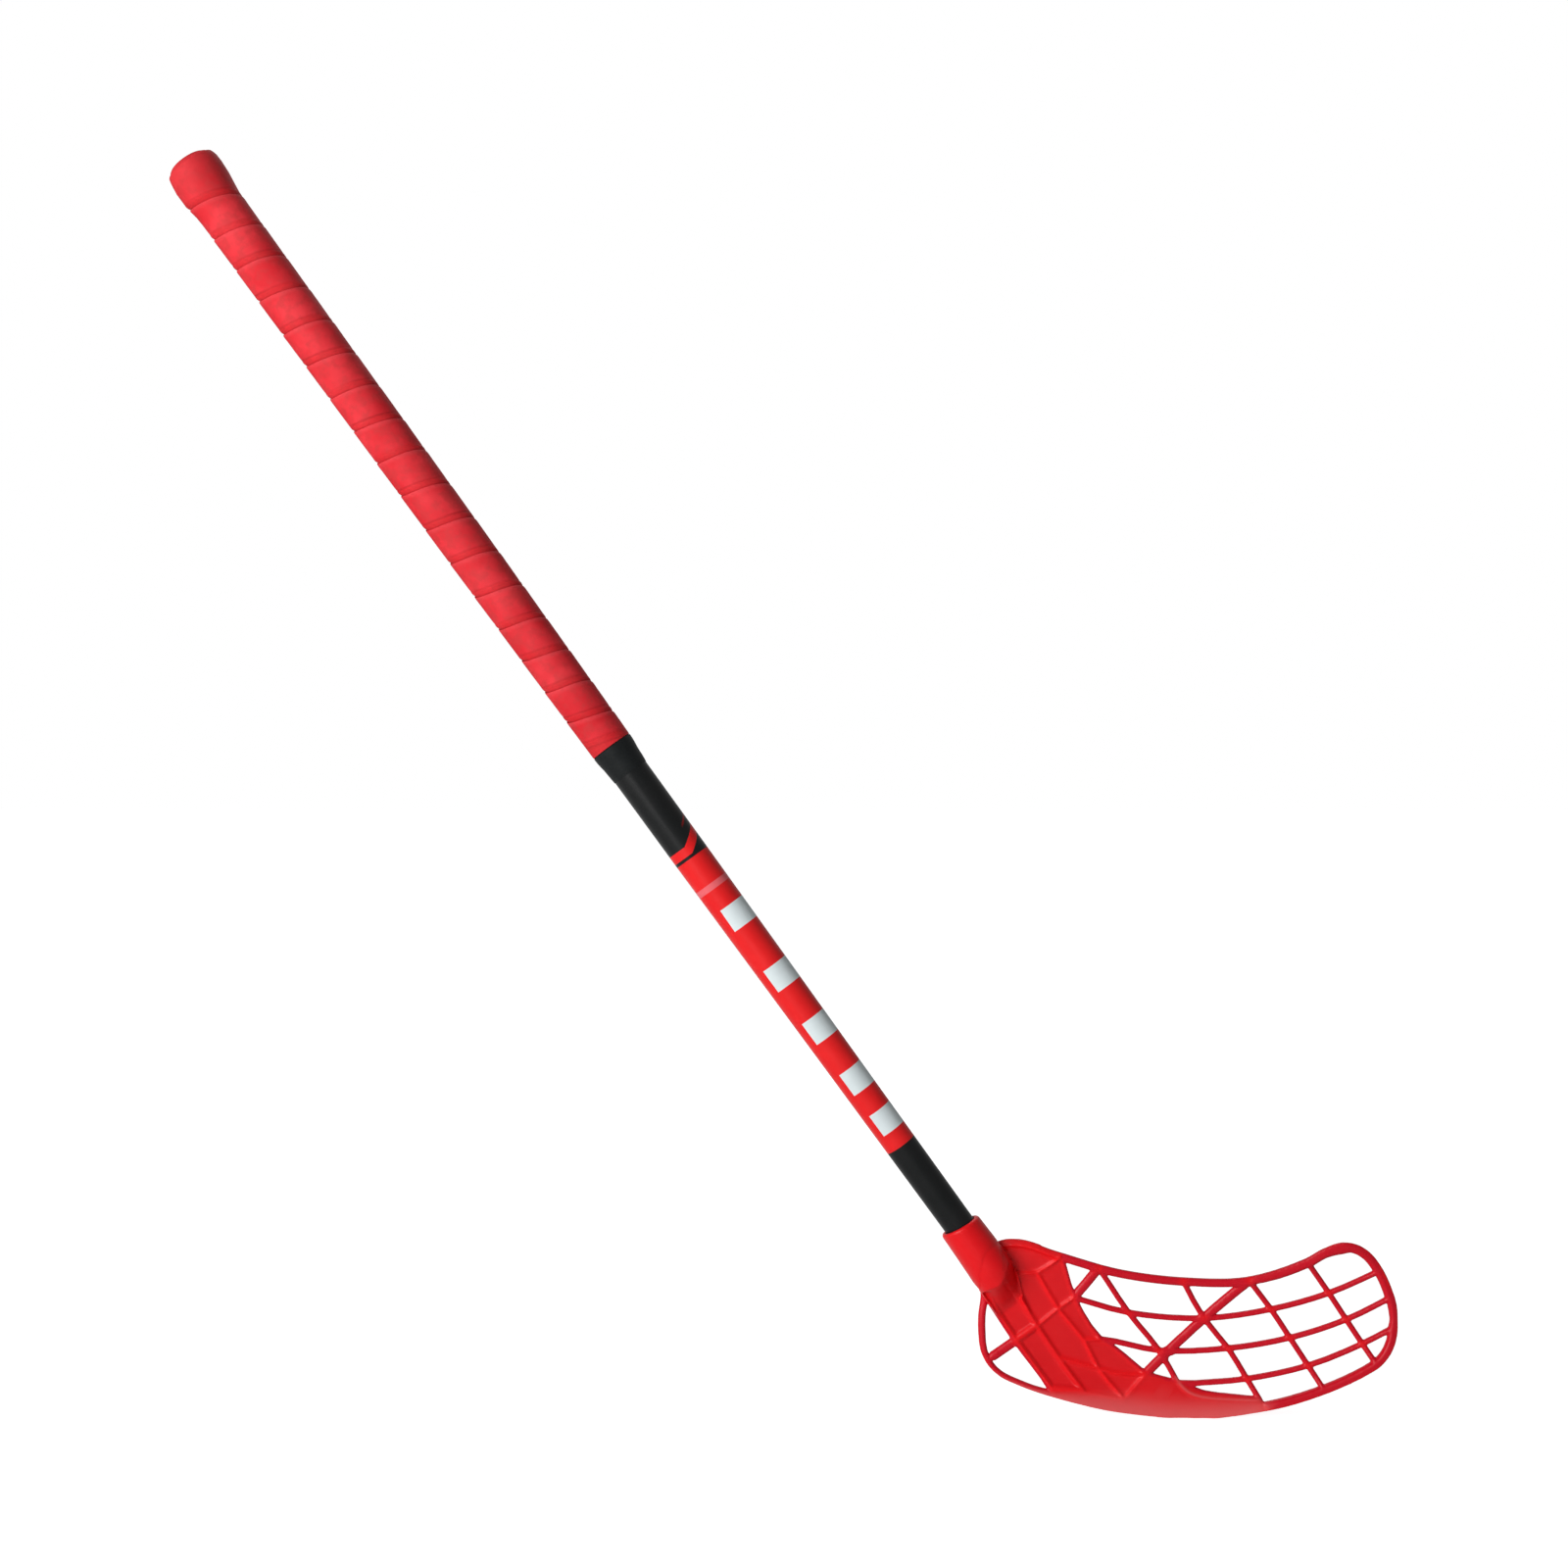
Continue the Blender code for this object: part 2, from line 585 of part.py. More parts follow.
def grip_end():
    return grip_top() - GRIP_LENGTH


def shaft_stations():
    """Heights and outer radii where the tube's taper changes."""
    return (
        (shaft_foot(), FOOT_DIAMETER / 2), (0, FOOT_DIAMETER / 2), (LOWER_HEIGHT, LOWER_DIAMETER / 2),
        (WAIST_HEIGHT, WAIST_DIAMETER / 2), (grip_end(), GRIP_END_DIAMETER / 2),
        (GRIP_MIDDLE_HEIGHT, GRIP_MIDDLE_DIAMETER / 2), (shaft_top(), TOP_DIAMETER / 2),
    )


def shaft_radius(height):
    """The tube's outer radius at a height."""
    stations = sorted(shaft_stations())
    for (low, low_radius), (high, high_radius) in zip(stations, stations[1:]):
        if height <= high:
            share = max((height - low) / (high - low), 0)
            return low_radius + share * (high_radius - low_radius)
    return stations[-1][1]


def print_edges():
    """The heights at which the shaft's print changes."""
    line_foot = UPPER_BLACK_FOOT - STRIPE_HEIGHT - LINE_HEIGHT
    edges = [FOOT_BLACK_TOP, UPPER_BLACK_FOOT, UPPER_BLACK_FOOT - STRIPE_HEIGHT, line_foot]
    edges += [PALE_BAND_HEIGHT, PALE_BAND_HEIGHT + PALE_BAND_WIDTH]
    for foot in BLOCK_FEET:
        edges += [foot, foot + BLOCK_HEIGHT]
    return edges


def print_at(height, angle):
    """Which of the lacquers covers the tube here: 0 red, 1 black, 2 white, 3 pale. The angle is from the front."""
    line_top = UPPER_BLACK_FOOT - STRIPE_HEIGHT
    if height < FOOT_BLACK_TOP or height > UPPER_BLACK_FOOT or line_top - LINE_HEIGHT < height < line_top:
        return 1
    if PALE_BAND_HEIGHT < height < PALE_BAND_HEIGHT + PALE_BAND_WIDTH:
        return 3
    in_block = any(foot < height < foot + BLOCK_HEIGHT for foot in BLOCK_FEET)
    return 2 if in_block and BLOCK_START < angle < BLOCK_START + BLOCK_SWEEP else 0


def make_shaft(axis, home, cutters, lacquers):
    """The tapering tube, open at both ends, with its printed zones and its two screw holes."""
    heights = sorted({height for height, _ in shaft_stations()} | set(print_edges()), reverse=True)
    outer = [(shaft_radius(height), height) for height in heights]
    inner = [(radius - SHAFT_WALL, height) for height, radius in sorted(shaft_stations())]
    tube = as_mesh(turned("shaft_tube", outer + inner, home, lacquers[0]))
    for lacquer in lacquers[1:]:
        tube.data.materials.append(lacquer)
    for polygon in tube.data.polygons:
        middle = polygon.center
        if math.hypot(middle.x, middle.y) > shaft_radius(middle.z) - SHAFT_WALL / 2:
            polygon.material_index = print_at(middle.z, math.atan2(middle.x, -middle.y))
    tube.parent = axis
    for number, height in enumerate(SCREW_HEIGHTS, start=1):
        low = FOOT_DIAMETER / 2 - SHAFT_WALL - CUT_REACH
        high = FOOT_DIAMETER / 2 + CUT_REACH
        hole = rod(f"tube_hole_{number}", SCREW_SHANK / 2 + HOLE_GAP, low, high, cutters, 16)
        face_back(helper(hole, axis), height)
        combine(tube, hole, "DIFFERENCE")


def knob_rise(down):
    """How far the knob stands out from the plain grip, at a distance below the grip's top."""
    rise = KNOB_RISE * (1 - blend(down, KNOB_SHOULDER, KNOB_LENGTH))
    corner = 1 - min(max(down / KNOB_CORNER, 0), 1)
    return rise - KNOB_CORNER_DROP * (1 - math.sqrt(1 - corner * corner))


def grip_bed(height):
    """The radius of the grip tape's inner side. Its flat sides clear the tube by the gap between pieces."""
    plain = (shaft_radius(height) + FIT_GAP) / math.cos(math.pi / TAPE_LOOP_POINTS)
    return plain + max(knob_rise(grip_top() - height), 0)


def grip_radius(height):
    """The finished grip's outer radius at a height."""
    return grip_bed(height) + TAPE_THICKNESS + min(knob_rise(grip_top() - height), 0)


def make_ring(axis, home, material):
    """The build-up ring under the tape, round the tube's top, which makes the knob."""
    downs = [step * KNOB_LENGTH / 24 for step in range(25)]
    heights = [grip_top() - down for down in downs if knob_rise(down) > RING_CLEARANCE + RING_EDGE]
    outer = [(grip_bed(height) - RING_CLEARANCE, height) for height in heights]
    inner = [(shaft_radius(height) + FIT_GAP, height) for height in (heights[-1], heights[0])]
    turned("knob_ring", outer + inner, home, material).parent = axis


def make_cap(axis, home, material):
    """The butt cap: a flange on the tube's end, and a hollow skirt pushed into its bore."""
    seat = shaft_top() + FIT_GAP
    top = seat + CAP_FLANGE
    flange = shaft_radius(shaft_top())
    skirt = shaft_radius(shaft_top() - CAP_SKIRT) - SHAFT_WALL - FIT_GAP
    hollow = skirt - CAP_WALL
    profile = (
        (0, top), (flange - CAP_EDGE, top), (flange - CAP_EDGE * 0.3, top - CAP_EDGE * 0.3), (flange, top - CAP_EDGE),
        (flange, seat), (skirt, seat), (skirt, seat - CAP_SKIRT), (hollow, seat - CAP_SKIRT),
        (hollow, seat - CAP_WALL), (0, seat - CAP_WALL),
    )
    turned("butt_cap", profile, home, material).parent = axis


def make_band(axis, home, material):
    """The finishing band, which carries the grip's end down to the bare shaft."""
    top = grip_end() - FIT_GAP
    bottom = top - BAND_LENGTH
    steps = (
        (top, BAND_UPPER_THICKNESS), (top - BAND_SHOULDER, BAND_UPPER_THICKNESS),
        ((top + bottom) / 2, (BAND_UPPER_THICKNESS + BAND_LOWER_THICKNESS) / 2), (bottom, BAND_LOWER_THICKNESS),
    )
    outer = [(shaft_radius(height) + FIT_GAP + thickness, height) for height, thickness in steps]
    inner = [(shaft_radius(height) + FIT_GAP, height) for height in (bottom, top)]
    turned("finishing_band", outer + inner, home, material).parent = axis


def tape_upper_edge(turn):
    """The height of the tape's upper edge after a number of turns, where nothing cuts it."""
    return GROOVE_HEIGHT - turn * TAPE_PITCH


def tape_ends():
    """The turns at which the tape starts and ends, as wide as its laps and a tip."""
    least_width = TAPE_OVERLAP * 3 + TAPE_TIP
    start = (GROOVE_HEIGHT - TAPE_PITCH - TAPE_OVERLAP - grip_top() + least_width) / TAPE_PITCH
    end = (GROOVE_HEIGHT - grip_end() - least_width) / TAPE_PITCH
    return start, end


def tape_section(turn):
    """The tape's section after a number of turns, as radius and height points.

    Its upper edge lies over the lower edge of the turn above it, which thins to pass under. A turn that has no
    neighbour above or below reaches the grip's end there, and is cut square.
    """
    start, end = tape_ends()
    over_one = turn - 1 > start - TAPE_END_GAP * 1.5
    under_one = turn + 1 < end + TAPE_END_GAP * 1.5
    upper = tape_upper_edge(turn) if over_one else grip_top()
    lower = tape_upper_edge(turn + 1) - TAPE_OVERLAP if under_one else grip_end()
    lap = (TAPE_THICKNESS + TAPE_STEP - LAP_GAP) * 0.3
    shoulder = lower + (TAPE_OVERLAP * 2.7 if under_one else TAPE_SHOULDER)
    near_edge = upper + (shoulder - upper) * 0.1
    middle = (upper + shoulder) / 2
    inner_edge = upper - TAPE_OVERLAP * 3 if over_one else near_edge
    return (
        (grip_radius(upper) + (TAPE_STEP if over_one else 0), upper),
        (grip_radius(near_edge), near_edge),
        (grip_radius(middle), middle),
        (grip_radius(shoulder) - (TAPE_SHOULDER if under_one else 0), shoulder),
        (grip_bed(lower) + lap if under_one else grip_radius(lower) - TAPE_SHOULDER, lower),
        (grip_bed(lower), lower),
        (grip_bed(middle), middle),
        (grip_bed(inner_edge), inner_edge),
        (grip_radius(upper) + TAPE_STEP - lap if over_one else grip_bed(upper), upper),
    )


def least_gap(turns):
    """The least distance of the tape to itself: between a turn and the next, and past its cut ends."""
    least = math.tau * TAPE_END_GAP * grip_bed(grip_end())
    for turn in turns:
        if turn + 1 > turns[-1]:
            break
        pair = tape_section(turn), tape_section(turn + 1)
        for points, outline in (pair, pair[::-1]):
            for start, end in zip(outline, outline[1:] + outline[:1]):
                start, along = Vector(start), Vector(end) - Vector(start)
                for point in points:
                    share = min(max((Vector(point) - start).dot(along) / along.length_squared, 0), 1)
                    least = min(least, (start + along * share - Vector(point)).length)
    return least


def make_tape(axis, home, material):
    """The grip tape: one band wound in real turns, cut square at the butt and at its lower end."""
    start, end = tape_ends()
    count = math.floor((end - start) * TAPE_LOOP_POINTS)
    turns = [start + step / TAPE_LOOP_POINTS for step in range(count + 1)] + [end]
    # Two sections close together, where the tape first runs over its own start, and where its end leaves it
    turns += [start + 1 - 2 * TAPE_END_GAP, start + 1 - TAPE_END_GAP]
    turns += [end - 1 + TAPE_END_GAP, end - 1 + 2 * TAPE_END_GAP]
    turns.sort()
    print(f"grip tape: {end - start:.1f} turns, least gap to itself {least_gap(turns) / MM:.2f} mm")
    bm = bmesh.new()
    rings = []
    for turn in turns:
        # A turn starts on the heel side and runs over the front to the toe side
        angle = math.pi * (1 + 2 * turn)
        section = tape_section(turn)
        rings.append([bm.verts.new((r * math.cos(angle), r * math.sin(angle), height)) for r, height in section])
    bm.faces.new(rings[0])
    bm.faces.new(rings[-1])
    for ring, following in zip(rings, rings[1:]):
        for i in range(len(ring)):
            bm.faces.new((ring[i - 1], ring[i], following[i], following[i - 1]))
    bmesh.ops.recalc_face_normals(bm, faces=bm.faces[:])
    make_object("grip_tape", mesh_from(bm, "grip_tape"), home, [material]).parent = axis


def main():
    clear_scene()
    stick = collection("floorball_stick")
    cutters = collection("cutters")
    axis = shaft_axis()
    lacquers = (
        finish("red_lacquer", RED_LACQUER, 0.22),
        finish("black_lacquer", BLACK_LACQUER, 0.3),
        finish("white_lacquer", WHITE_LACQUER, 0.25),
        finish("pale_lacquer", PALE_LACQUER, 0.25),
    )
    make_shaft(axis, stick, cutters, lacquers)
    make_blade(axis, stick, cutters, finish("red_blade_plastic", RED_BLADE, 0.38))
    make_screws(axis, stick, finish("screw_steel", SCREW_STEEL, 0.35, metallic=1.0))
    make_cap(axis, stick, finish("red_cap_rubber", RED_TAPE, 0.6))
    make_ring(axis, stick, finish("grey_foam", GREY_FOAM, 0.9))
    make_tape(axis, stick, finish("red_grip_tape", RED_TAPE, 0.62))
    make_band(axis, stick, finish("black_tape", BLACK_TAPE, 0.5))


main()
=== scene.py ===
"""The looks of the floorball stick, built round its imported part. Lengths are in metres."""

import math

import bmesh
import bpy
from mathutils import Matrix, Vector
from mathutils.geometry import interpolate_bezier
from mathutils.kdtree import KDTree


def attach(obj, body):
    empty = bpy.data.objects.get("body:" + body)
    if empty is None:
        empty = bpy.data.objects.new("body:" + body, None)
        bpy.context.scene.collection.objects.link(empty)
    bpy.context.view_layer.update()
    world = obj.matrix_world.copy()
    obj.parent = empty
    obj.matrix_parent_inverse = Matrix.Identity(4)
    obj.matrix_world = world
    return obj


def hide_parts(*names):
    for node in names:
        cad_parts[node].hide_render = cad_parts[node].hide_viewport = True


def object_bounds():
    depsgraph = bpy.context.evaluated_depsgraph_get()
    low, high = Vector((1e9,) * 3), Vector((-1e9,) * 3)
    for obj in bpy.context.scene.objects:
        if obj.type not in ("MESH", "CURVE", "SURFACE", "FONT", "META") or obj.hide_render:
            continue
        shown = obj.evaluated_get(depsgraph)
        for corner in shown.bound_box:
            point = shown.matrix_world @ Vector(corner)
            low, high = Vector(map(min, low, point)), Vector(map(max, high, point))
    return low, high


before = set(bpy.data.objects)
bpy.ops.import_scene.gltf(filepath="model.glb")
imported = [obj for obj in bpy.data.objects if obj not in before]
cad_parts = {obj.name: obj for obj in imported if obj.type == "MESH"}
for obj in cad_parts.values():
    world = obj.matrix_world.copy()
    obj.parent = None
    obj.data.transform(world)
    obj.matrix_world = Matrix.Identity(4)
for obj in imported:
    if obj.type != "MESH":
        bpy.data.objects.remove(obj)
cad_low, cad_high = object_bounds()

FIT_GAP = 0.0003

# The shaft's own frame: the middle of the hosel's mouth, Z up the shaft, Y to the back, X to the toe side
MOUTH = Vector((-0.156467, 0, 0.128341))
LEAN = math.radians(36)
SHAFT_PLACE = Matrix.Translation(MOUTH) @ Matrix.Rotation(-LEAN, 4, "Y")
TO_SHAFT = SHAFT_PLACE.inverted()

# Shaft: heights above the mouth, and outer radii there
SHAFT_FOOT = -0.0447
SHAFT_TOP = 0.8603
GRIP_TOP = 0.8614
GRIP_END = 0.3880
SHAFT_STATIONS = (
    (SHAFT_FOOT, 0.0103), (0, 0.0103), (0.088, 0.0108), (0.300, 0.0122), (GRIP_END, 0.01245), (0.560, 0.0135),
    (SHAFT_TOP, 0.0143),
)
SHAFT_WALL = 0.0015
SHAFT_SIDES = 96

# Print on the shaft: heights above the mouth in millimetres, and angles from the front towards the toe side
FOOT_BLACK_TOP = 64.2
BLOCKS = ((241.7, 258.5), (193.0, 209.8), (150.2, 167.0), (108.8, 125.6), (76.0, 92.3))
BLOCK_START = -0.46
BLOCK_END = 2.13
PALE_BAND = (272.6, 276.9)
UPPER_BLACK_FOOT = 297.7
STRIPE = (299.9, 306.0)
THIN_LINE = 313.3
STRIPE_SLOPE = 0.65
STRIPE_TURN = 19.3  # round the shaft from its front to where the stripe is highest, in millimetres
PRINT_RADIUS = 12.3
PRINT_EDGE = 0.18

# Grip: one band wound by hand, so that its joins drift from an even pitch
TAPE_THICKNESS = 0.0016
TAPE_PITCH = 0.0266
TAPE_OVERLAP = 0.0015
TAPE_STEP = 0.00018
LAP_GAP = 0.0005
JOIN_HEIGHT = 0.8384
TAPE_LOOP_POINTS = 72
CAD_LOOP_POINTS = 24
DRIFT_START = 0.25
JOIN_DRIFTS = (-2.5, -0.6, 1.0, 2.2, 2.0, 2.5, 3.0, 2.6, 3.7, 3.3, 2.2, 1.7, 0.8, 1.3, 2.0, 3.3, 5.2, 12.0)
KNOB_RISE = 0.0022
KNOB_CORNER = 0.013
KNOB_CORNER_DROP = 0.0030
KNOB_SHOULDER = 0.016
KNOB_LENGTH = 0.036
KNOB_LEAN = 0.0007  # how much fuller the knob is on the toe side, at this height
KNOB_LEAN_HEIGHT = 0.856
KNOB_LEAN_REACH = 0.007
LAP_SHOWS = (-0.35, -0.05)  # the turns over which the laps come to show
WRAP_START = -1.25
WRAP_END = 16.86
SEAM_GAP = 0.0004  # of a turn
CUT_TAPER = 0.00015  # what the tape loses at its cut lower end
LAP_EDGE = 0.0009  # height of a lap's rounded edge
CREASE_RISE = 0.0024  # of the crease above a join
CREASE_HALF = 0.0010
CREASE_DEPTH = 0.00019
CROWN_CHAMFER = 0.0007
CROWN_EDGE = 0.0017
OUT_OF_SIGHT = 0.02  # added to a point's distance from a join that doesn't show

# Finishing tape: distances below its top, and how far its outside stands off the shaft there
BAND_LENGTH = 0.021
BAND_PROFILE = (
    (0, 0.0015), (0.0003, 0.0019), (0.0035, 0.0018), (0.0065, 0.0015), (0.0100, 0.0010), (0.0130, 0.00080),
    (0.0165, 0.00060), (0.0200, 0.00038), (BAND_LENGTH, 0.00022),
)
BAND_END_STEP = 0.00018
BAND_END_TURN = 0.62  # where its end lies, as a share of a turn

# Cap
CAP_FLANGE = 0.003
CAP_SKIRT = 0.026
CAP_WALL = 0.002
CAP_SIDES = 64
DISH_DEPTH = 0.0009

# Screws in the hosel's back
SCREW_HEIGHTS = (-0.013, -0.031)
SCREW_HEAD_FOOT = 0.0129
SCREW_HEAD_TOP = 0.0145
SCREW_HEAD = 0.00275
SCREW_SHANK = 0.00145
SCREW_TIP = 0.0076
SCREW_SIDES = 40
SLOT_WIDTH = 0.00062
SLOT_DEPTH = 0.0018
THREADS = 8
THREAD_ROOT = 0.86  # of the shank

# Blade: its depths, and how far its middle lies behind the shaft's line
SETBACK = 0.008
HOOK = 0.015
TOP_FLARE = 0.0045
SPINE_HALF_DEPTH = 0.0026
SOLE_SPARE = 0.00001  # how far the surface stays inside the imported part's box
TOE_SPARE = 0.0001
HOSEL_RADIUS = 0.0139
HOSEL_GROWN = 0.00035  # what the skin's smoothing takes off the hosel
VOXEL = 0.0006
KEPT_FACES = 0.45  # of the skin's
RIM_FADE = (6, 9)  # from the outline inwards, in the drawing's millimetres
WALLS_AVERAGED = 40  # points of the outer wall
RIB_GROWN = 0.00042
BRACE_GROWN = 0.0013
RIDGE_RISE = 0.0007
LIP_CREST_RISE = 0.0010
LIP_ROLL = 0.0015
PANEL_DEPTH = 0.0014
NECK_TOP = 0.045  # below the mouth, where the hosel's front starts to sink into the spine
NECK_END = 0.067
NECK_SKEW = 0.006  # how much higher it starts on the toe side
NECK_STEP = 0.0005
NECK_SHIFT = 0.005  # towards the heel

# The blade's drawing: millimetres right of the sole's rest and above it, as seen from this point
EYE = Vector((-0.271, 0, 0.417))
EYE_DISTANCE = 1.7
DRAWN_HEEL = 143.1  # left of the sole's rest
DRAWN_LENGTH = 276.3
HOOK_START = 0.3  # of the blade's length
OUTLINE = (
    (-141.5, 81), (-142.5, 95), (-139, 108.5), (-130, 116), (-116, 117.4), (-92, 110), (-49, 97.8), (-3, 92.3),
    (34, 93), (72, 104.8), (84, 111.4), (96.5, 115.5), (108, 113.5), (118, 105.6), (131, 79.4), (133.2, 64.5),
    (131.6, 50.5), (128.3, 42.3), (122.3, 34.6), (113, 28.5), (101, 22.4), (82, 14.6), (58, 7.2), (30.5, 2),
    (8, -0.5), (-12, -0.3), (-36, 1.9), (-60, 5.3), (-98, 15), (-117, 21.8), (-129, 27.6), (-136.2, 34.2),
    (-141.4, 44), (-143.1, 56), (-143.1, 68),
)
RIDGES = (
    ((-146, 94), (-126.5, 95.5), (-104.5, 96.1), (-88.6, 106.2), (-79, 111)),
    ((-104.5, 96.1), (-90.3, 72.3), (-73.5, 51.6), (-63.9, 32.9), (-47.1, 12.9)),
    ((-80.3, 79.4), (-90.3, 72.3), (-103.9, 61.3), (-118.7, 51)),
    ((-89.7, 40), (-63.9, 32.9), (-51.6, 29.7), (-33.2, 29)),
    ((-73.5, 51.6), (-62.7, 52)),
    ((-33.2, 29), (-47.1, 12.9)),
    ((-126.5, 95.5), (-103.9, 61.3), (-89.7, 40), (-72.9, 17.4)),
    ((-143, 88), (-135.2, 76.1), (-118.7, 51), (-95.5, 19.2)),
    ((-95.5, 19.2), (-72.9, 17.4), (-47.1, 12.9)),
    ((-131, 108.5), (-121, 112.6), (-111, 112.6), (-92, 105.3)),
)
SPINE = (
    (-150, 94), (-126.5, 95.5), (-103.9, 61.3), (-89.7, 40), (-72.9, 17.4), (-95.5, 19.2), (-118.7, 51),
    (-135.2, 76.1),
)
WEB = (
    (-150, 94), (-126.5, 95.5), (-128, 120), (-88, 112), (-88.6, 106.2), (-80.3, 79.4), (-62.7, 52), (-55.5, 47.4),
    (-33.2, 29), (-11.8, 23.2), (5.2, 16.5), (23.2, 14.2), (42, 12.3), (53, 0), (8, -8), (-100, -8), (-95.5, 19.2),
    (-118.7, 51), (-135.2, 76.1),
)
CROSSINGS = (
    (-80.3, 79.4), (-63.9, 98.9), (-44.2, 69.5), (-24.1, 44.6), (-11.8, 23.2), (-33.2, 29), (-7.9, 89.8), (5.4, 65.8),
    (21.4, 46), (33.7, 25.9), (35.2, 90.8), (49.6, 71.7), (62, 52.9), (74, 34.6), (87.7, 82.3), (99.1, 64.9),
    (109.7, 48.9), (-118.7, 51),
)
BRACES = (
    ((38, 93), (5.4, 65.8), (-33.2, 29)),
    ((-61, 102), (-63.9, 98.9), (-80.3, 79.4)),
    ((-118.7, 51), (-139, 37)),
)
LIP_CREST = ((-13, 27), (-10.2, 22.5), (-5.4, 17.7), (0, 15), (10.2, 13), (23.8, 12.2), (39.4, 11.6), (50, 12))

# Stage
CAMERA_PLACE = Vector((-0.271, -1.7, 0.4174))
PICTURE_WIDTH = 1.0323  # of what the camera sees in the shaft's plane
SENSOR_WIDTH = 36
LAMP_TARGET = (-0.27, 0, 0.4)
WORLD_FILL = 0.08
FLOOR_GLOW = 0.79
FAR_GLOW = 0.18  # more, past the shadow's reach
FLOOR_DROP = 0.0002


# Node trees

class Value:
    """A socket of a tree's nodes. Arithmetic on it adds Math nodes."""

    def __init__(self, nodes, socket):
        self.nodes = nodes
        self.socket = socket

    def math(self, operation, *others, clamp=False):
        """A Math node on this value and the others."""
        inputs = dict(enumerate((self, *others)))
        return self.nodes.node("ShaderNodeMath", {"operation": operation, "use_clamp": clamp}, inputs)

    def reflected(self, operation, other):
        """A Math node on the other number and this value, in that order."""
        return self.nodes.node("ShaderNodeMath", {"operation": operation}, {0: other, 1: self})

    def __add__(self, other):
        return self.math("ADD", other)

    def __radd__(self, other):
        return self.math("ADD", other)

    def __sub__(self, other):
        return self.math("SUBTRACT", other)

    def __rsub__(self, other):
        return self.reflected("SUBTRACT", other)

    def __mul__(self, other):
        return self.math("MULTIPLY", other)

    def __rmul__(self, other):
        return self.math("MULTIPLY", other)

    def __truediv__(self, other):
        return self.math("DIVIDE", other)

    def __neg__(self):
        return self.math("MULTIPLY", -1)

    def __abs__(self):
        return self.math("ABSOLUTE")

    def above(self, edge, soft):
        """Goes from 0 to 1 over a soft width round an edge."""
        return ((self - edge) / soft).math("ADD", 0.5, clamp=True)

    def between(self, low, high, soft):
        """1 between two edges, with a soft width round each."""
        return self.above(low, soft) * (1 - self.above(high, soft))


class Nodes:
    """A tree of shader nodes."""

    def __init__(self, tree):
        self.tree = tree

    def node(self, kind, settings=None, inputs=None, output=0):
        """Adds a node of a kind: first its settings, then its sockets' values or links. Gives one of its outputs."""
        made = self.tree.nodes.new(kind)
        for name, value in (settings or {}).items():
            setattr(made, name, value)
        for name, value in (inputs or {}).items():
            if isinstance(value, Value):
                self.tree.links.new(value.socket, made.inputs[name])
            elif isinstance(value, tuple) and made.inputs[name].type == "RGBA":
                made.inputs[name].default_value = (*value, 1)
            else:
                made.inputs[name].default_value = value
        return Value(self, made.outputs[output])

    def link(self, value, node, socket):
        """Feeds a value to a socket of a node that the tree starts with."""
        self.tree.links.new(value.socket, self.tree.nodes[node].inputs[socket])

    def seen(self):
        """1 for what the camera sees, and half of it for what a gloss mirrors."""
        camera = self.node("ShaderNodeLightPath", output="Is Camera Ray")
        glossy = self.node("ShaderNodeLightPath", output="Is Glossy Ray")
        return camera.math("MAXIMUM", glossy * 0.5)


class Finish(Nodes):
    """A material and the nodes that paint it."""

    def __init__(self, name, **constants):
        self.material = bpy.data.materials.new(name)
        self.material.use_nodes = True
        super().__init__(self.material.node_tree)
        self.shader = self.tree.nodes["Principled BSDF"]
        for socket, value in constants.items():
            self.shader.inputs[socket.replace("_", " ")].default_value = value

    def place(self):
        """The point on the piece, in the row's frame."""
        return self.node("ShaderNodeTexCoord", output="Object")

    def shaft_place(self):
        """The point on the piece, in the shaft's own frame."""
        back = Matrix.Rotation(LEAN, 3, "Y") @ -MOUTH
        inputs = {"Vector": self.place(), "Location": back, "Rotation": (0, LEAN, 0)}
        return self.node("ShaderNodeMapping", inputs=inputs)

    def axes(self, vector):
        """The three numbers of a vector."""
        parts = self.node("ShaderNodeSeparateXYZ", inputs={0: vector})
        return [Value(self, output) for output in parts.socket.node.outputs]

    def vector(self, x, y, z):
        """A vector of three numbers."""
        return self.node("ShaderNodeCombineXYZ", inputs={0: x, 1: y, 2: z})

    def stretched(self, vector, x, y, z):
        """The vector with its three numbers scaled."""
        return self.node("ShaderNodeVectorMath", {"operation": "MULTIPLY"}, {0: vector, 1: (x, y, z)})

    def noise(self, vector, scale, detail=2.0, roughness=0.5):
        """Smooth noise from 0 to 1."""
        inputs = {"Vector": vector, "Scale": scale, "Detail": detail, "Roughness": roughness}
        return self.node("ShaderNodeTexNoise", inputs=inputs, output="Fac")

    def mix(self, share, first, second):
        """A colour between two others."""
        return self.node("ShaderNodeMix", {"data_type": "RGBA"}, {0: share, 6: first, 7: second}, output=2)

    def attribute(self, name):
        """A number that the piece's own points carry."""
        return self.node("ShaderNodeAttribute", {"attribute_name": name}, output="Fac")

    def bump(self, height, distance):
        """A surface whose relief is a height from 0 to 1 times a distance."""
        return self.node("ShaderNodeBump", inputs={"Height": height, "Distance": distance, "Strength": 1.0})

    def paint(self, **sockets):
        """Links values to the shader's sockets and gives the material."""
        for socket, value in sockets.items():
            self.link(value, self.shader.name, socket.replace("_", " "))
        return self.material


# Finishes

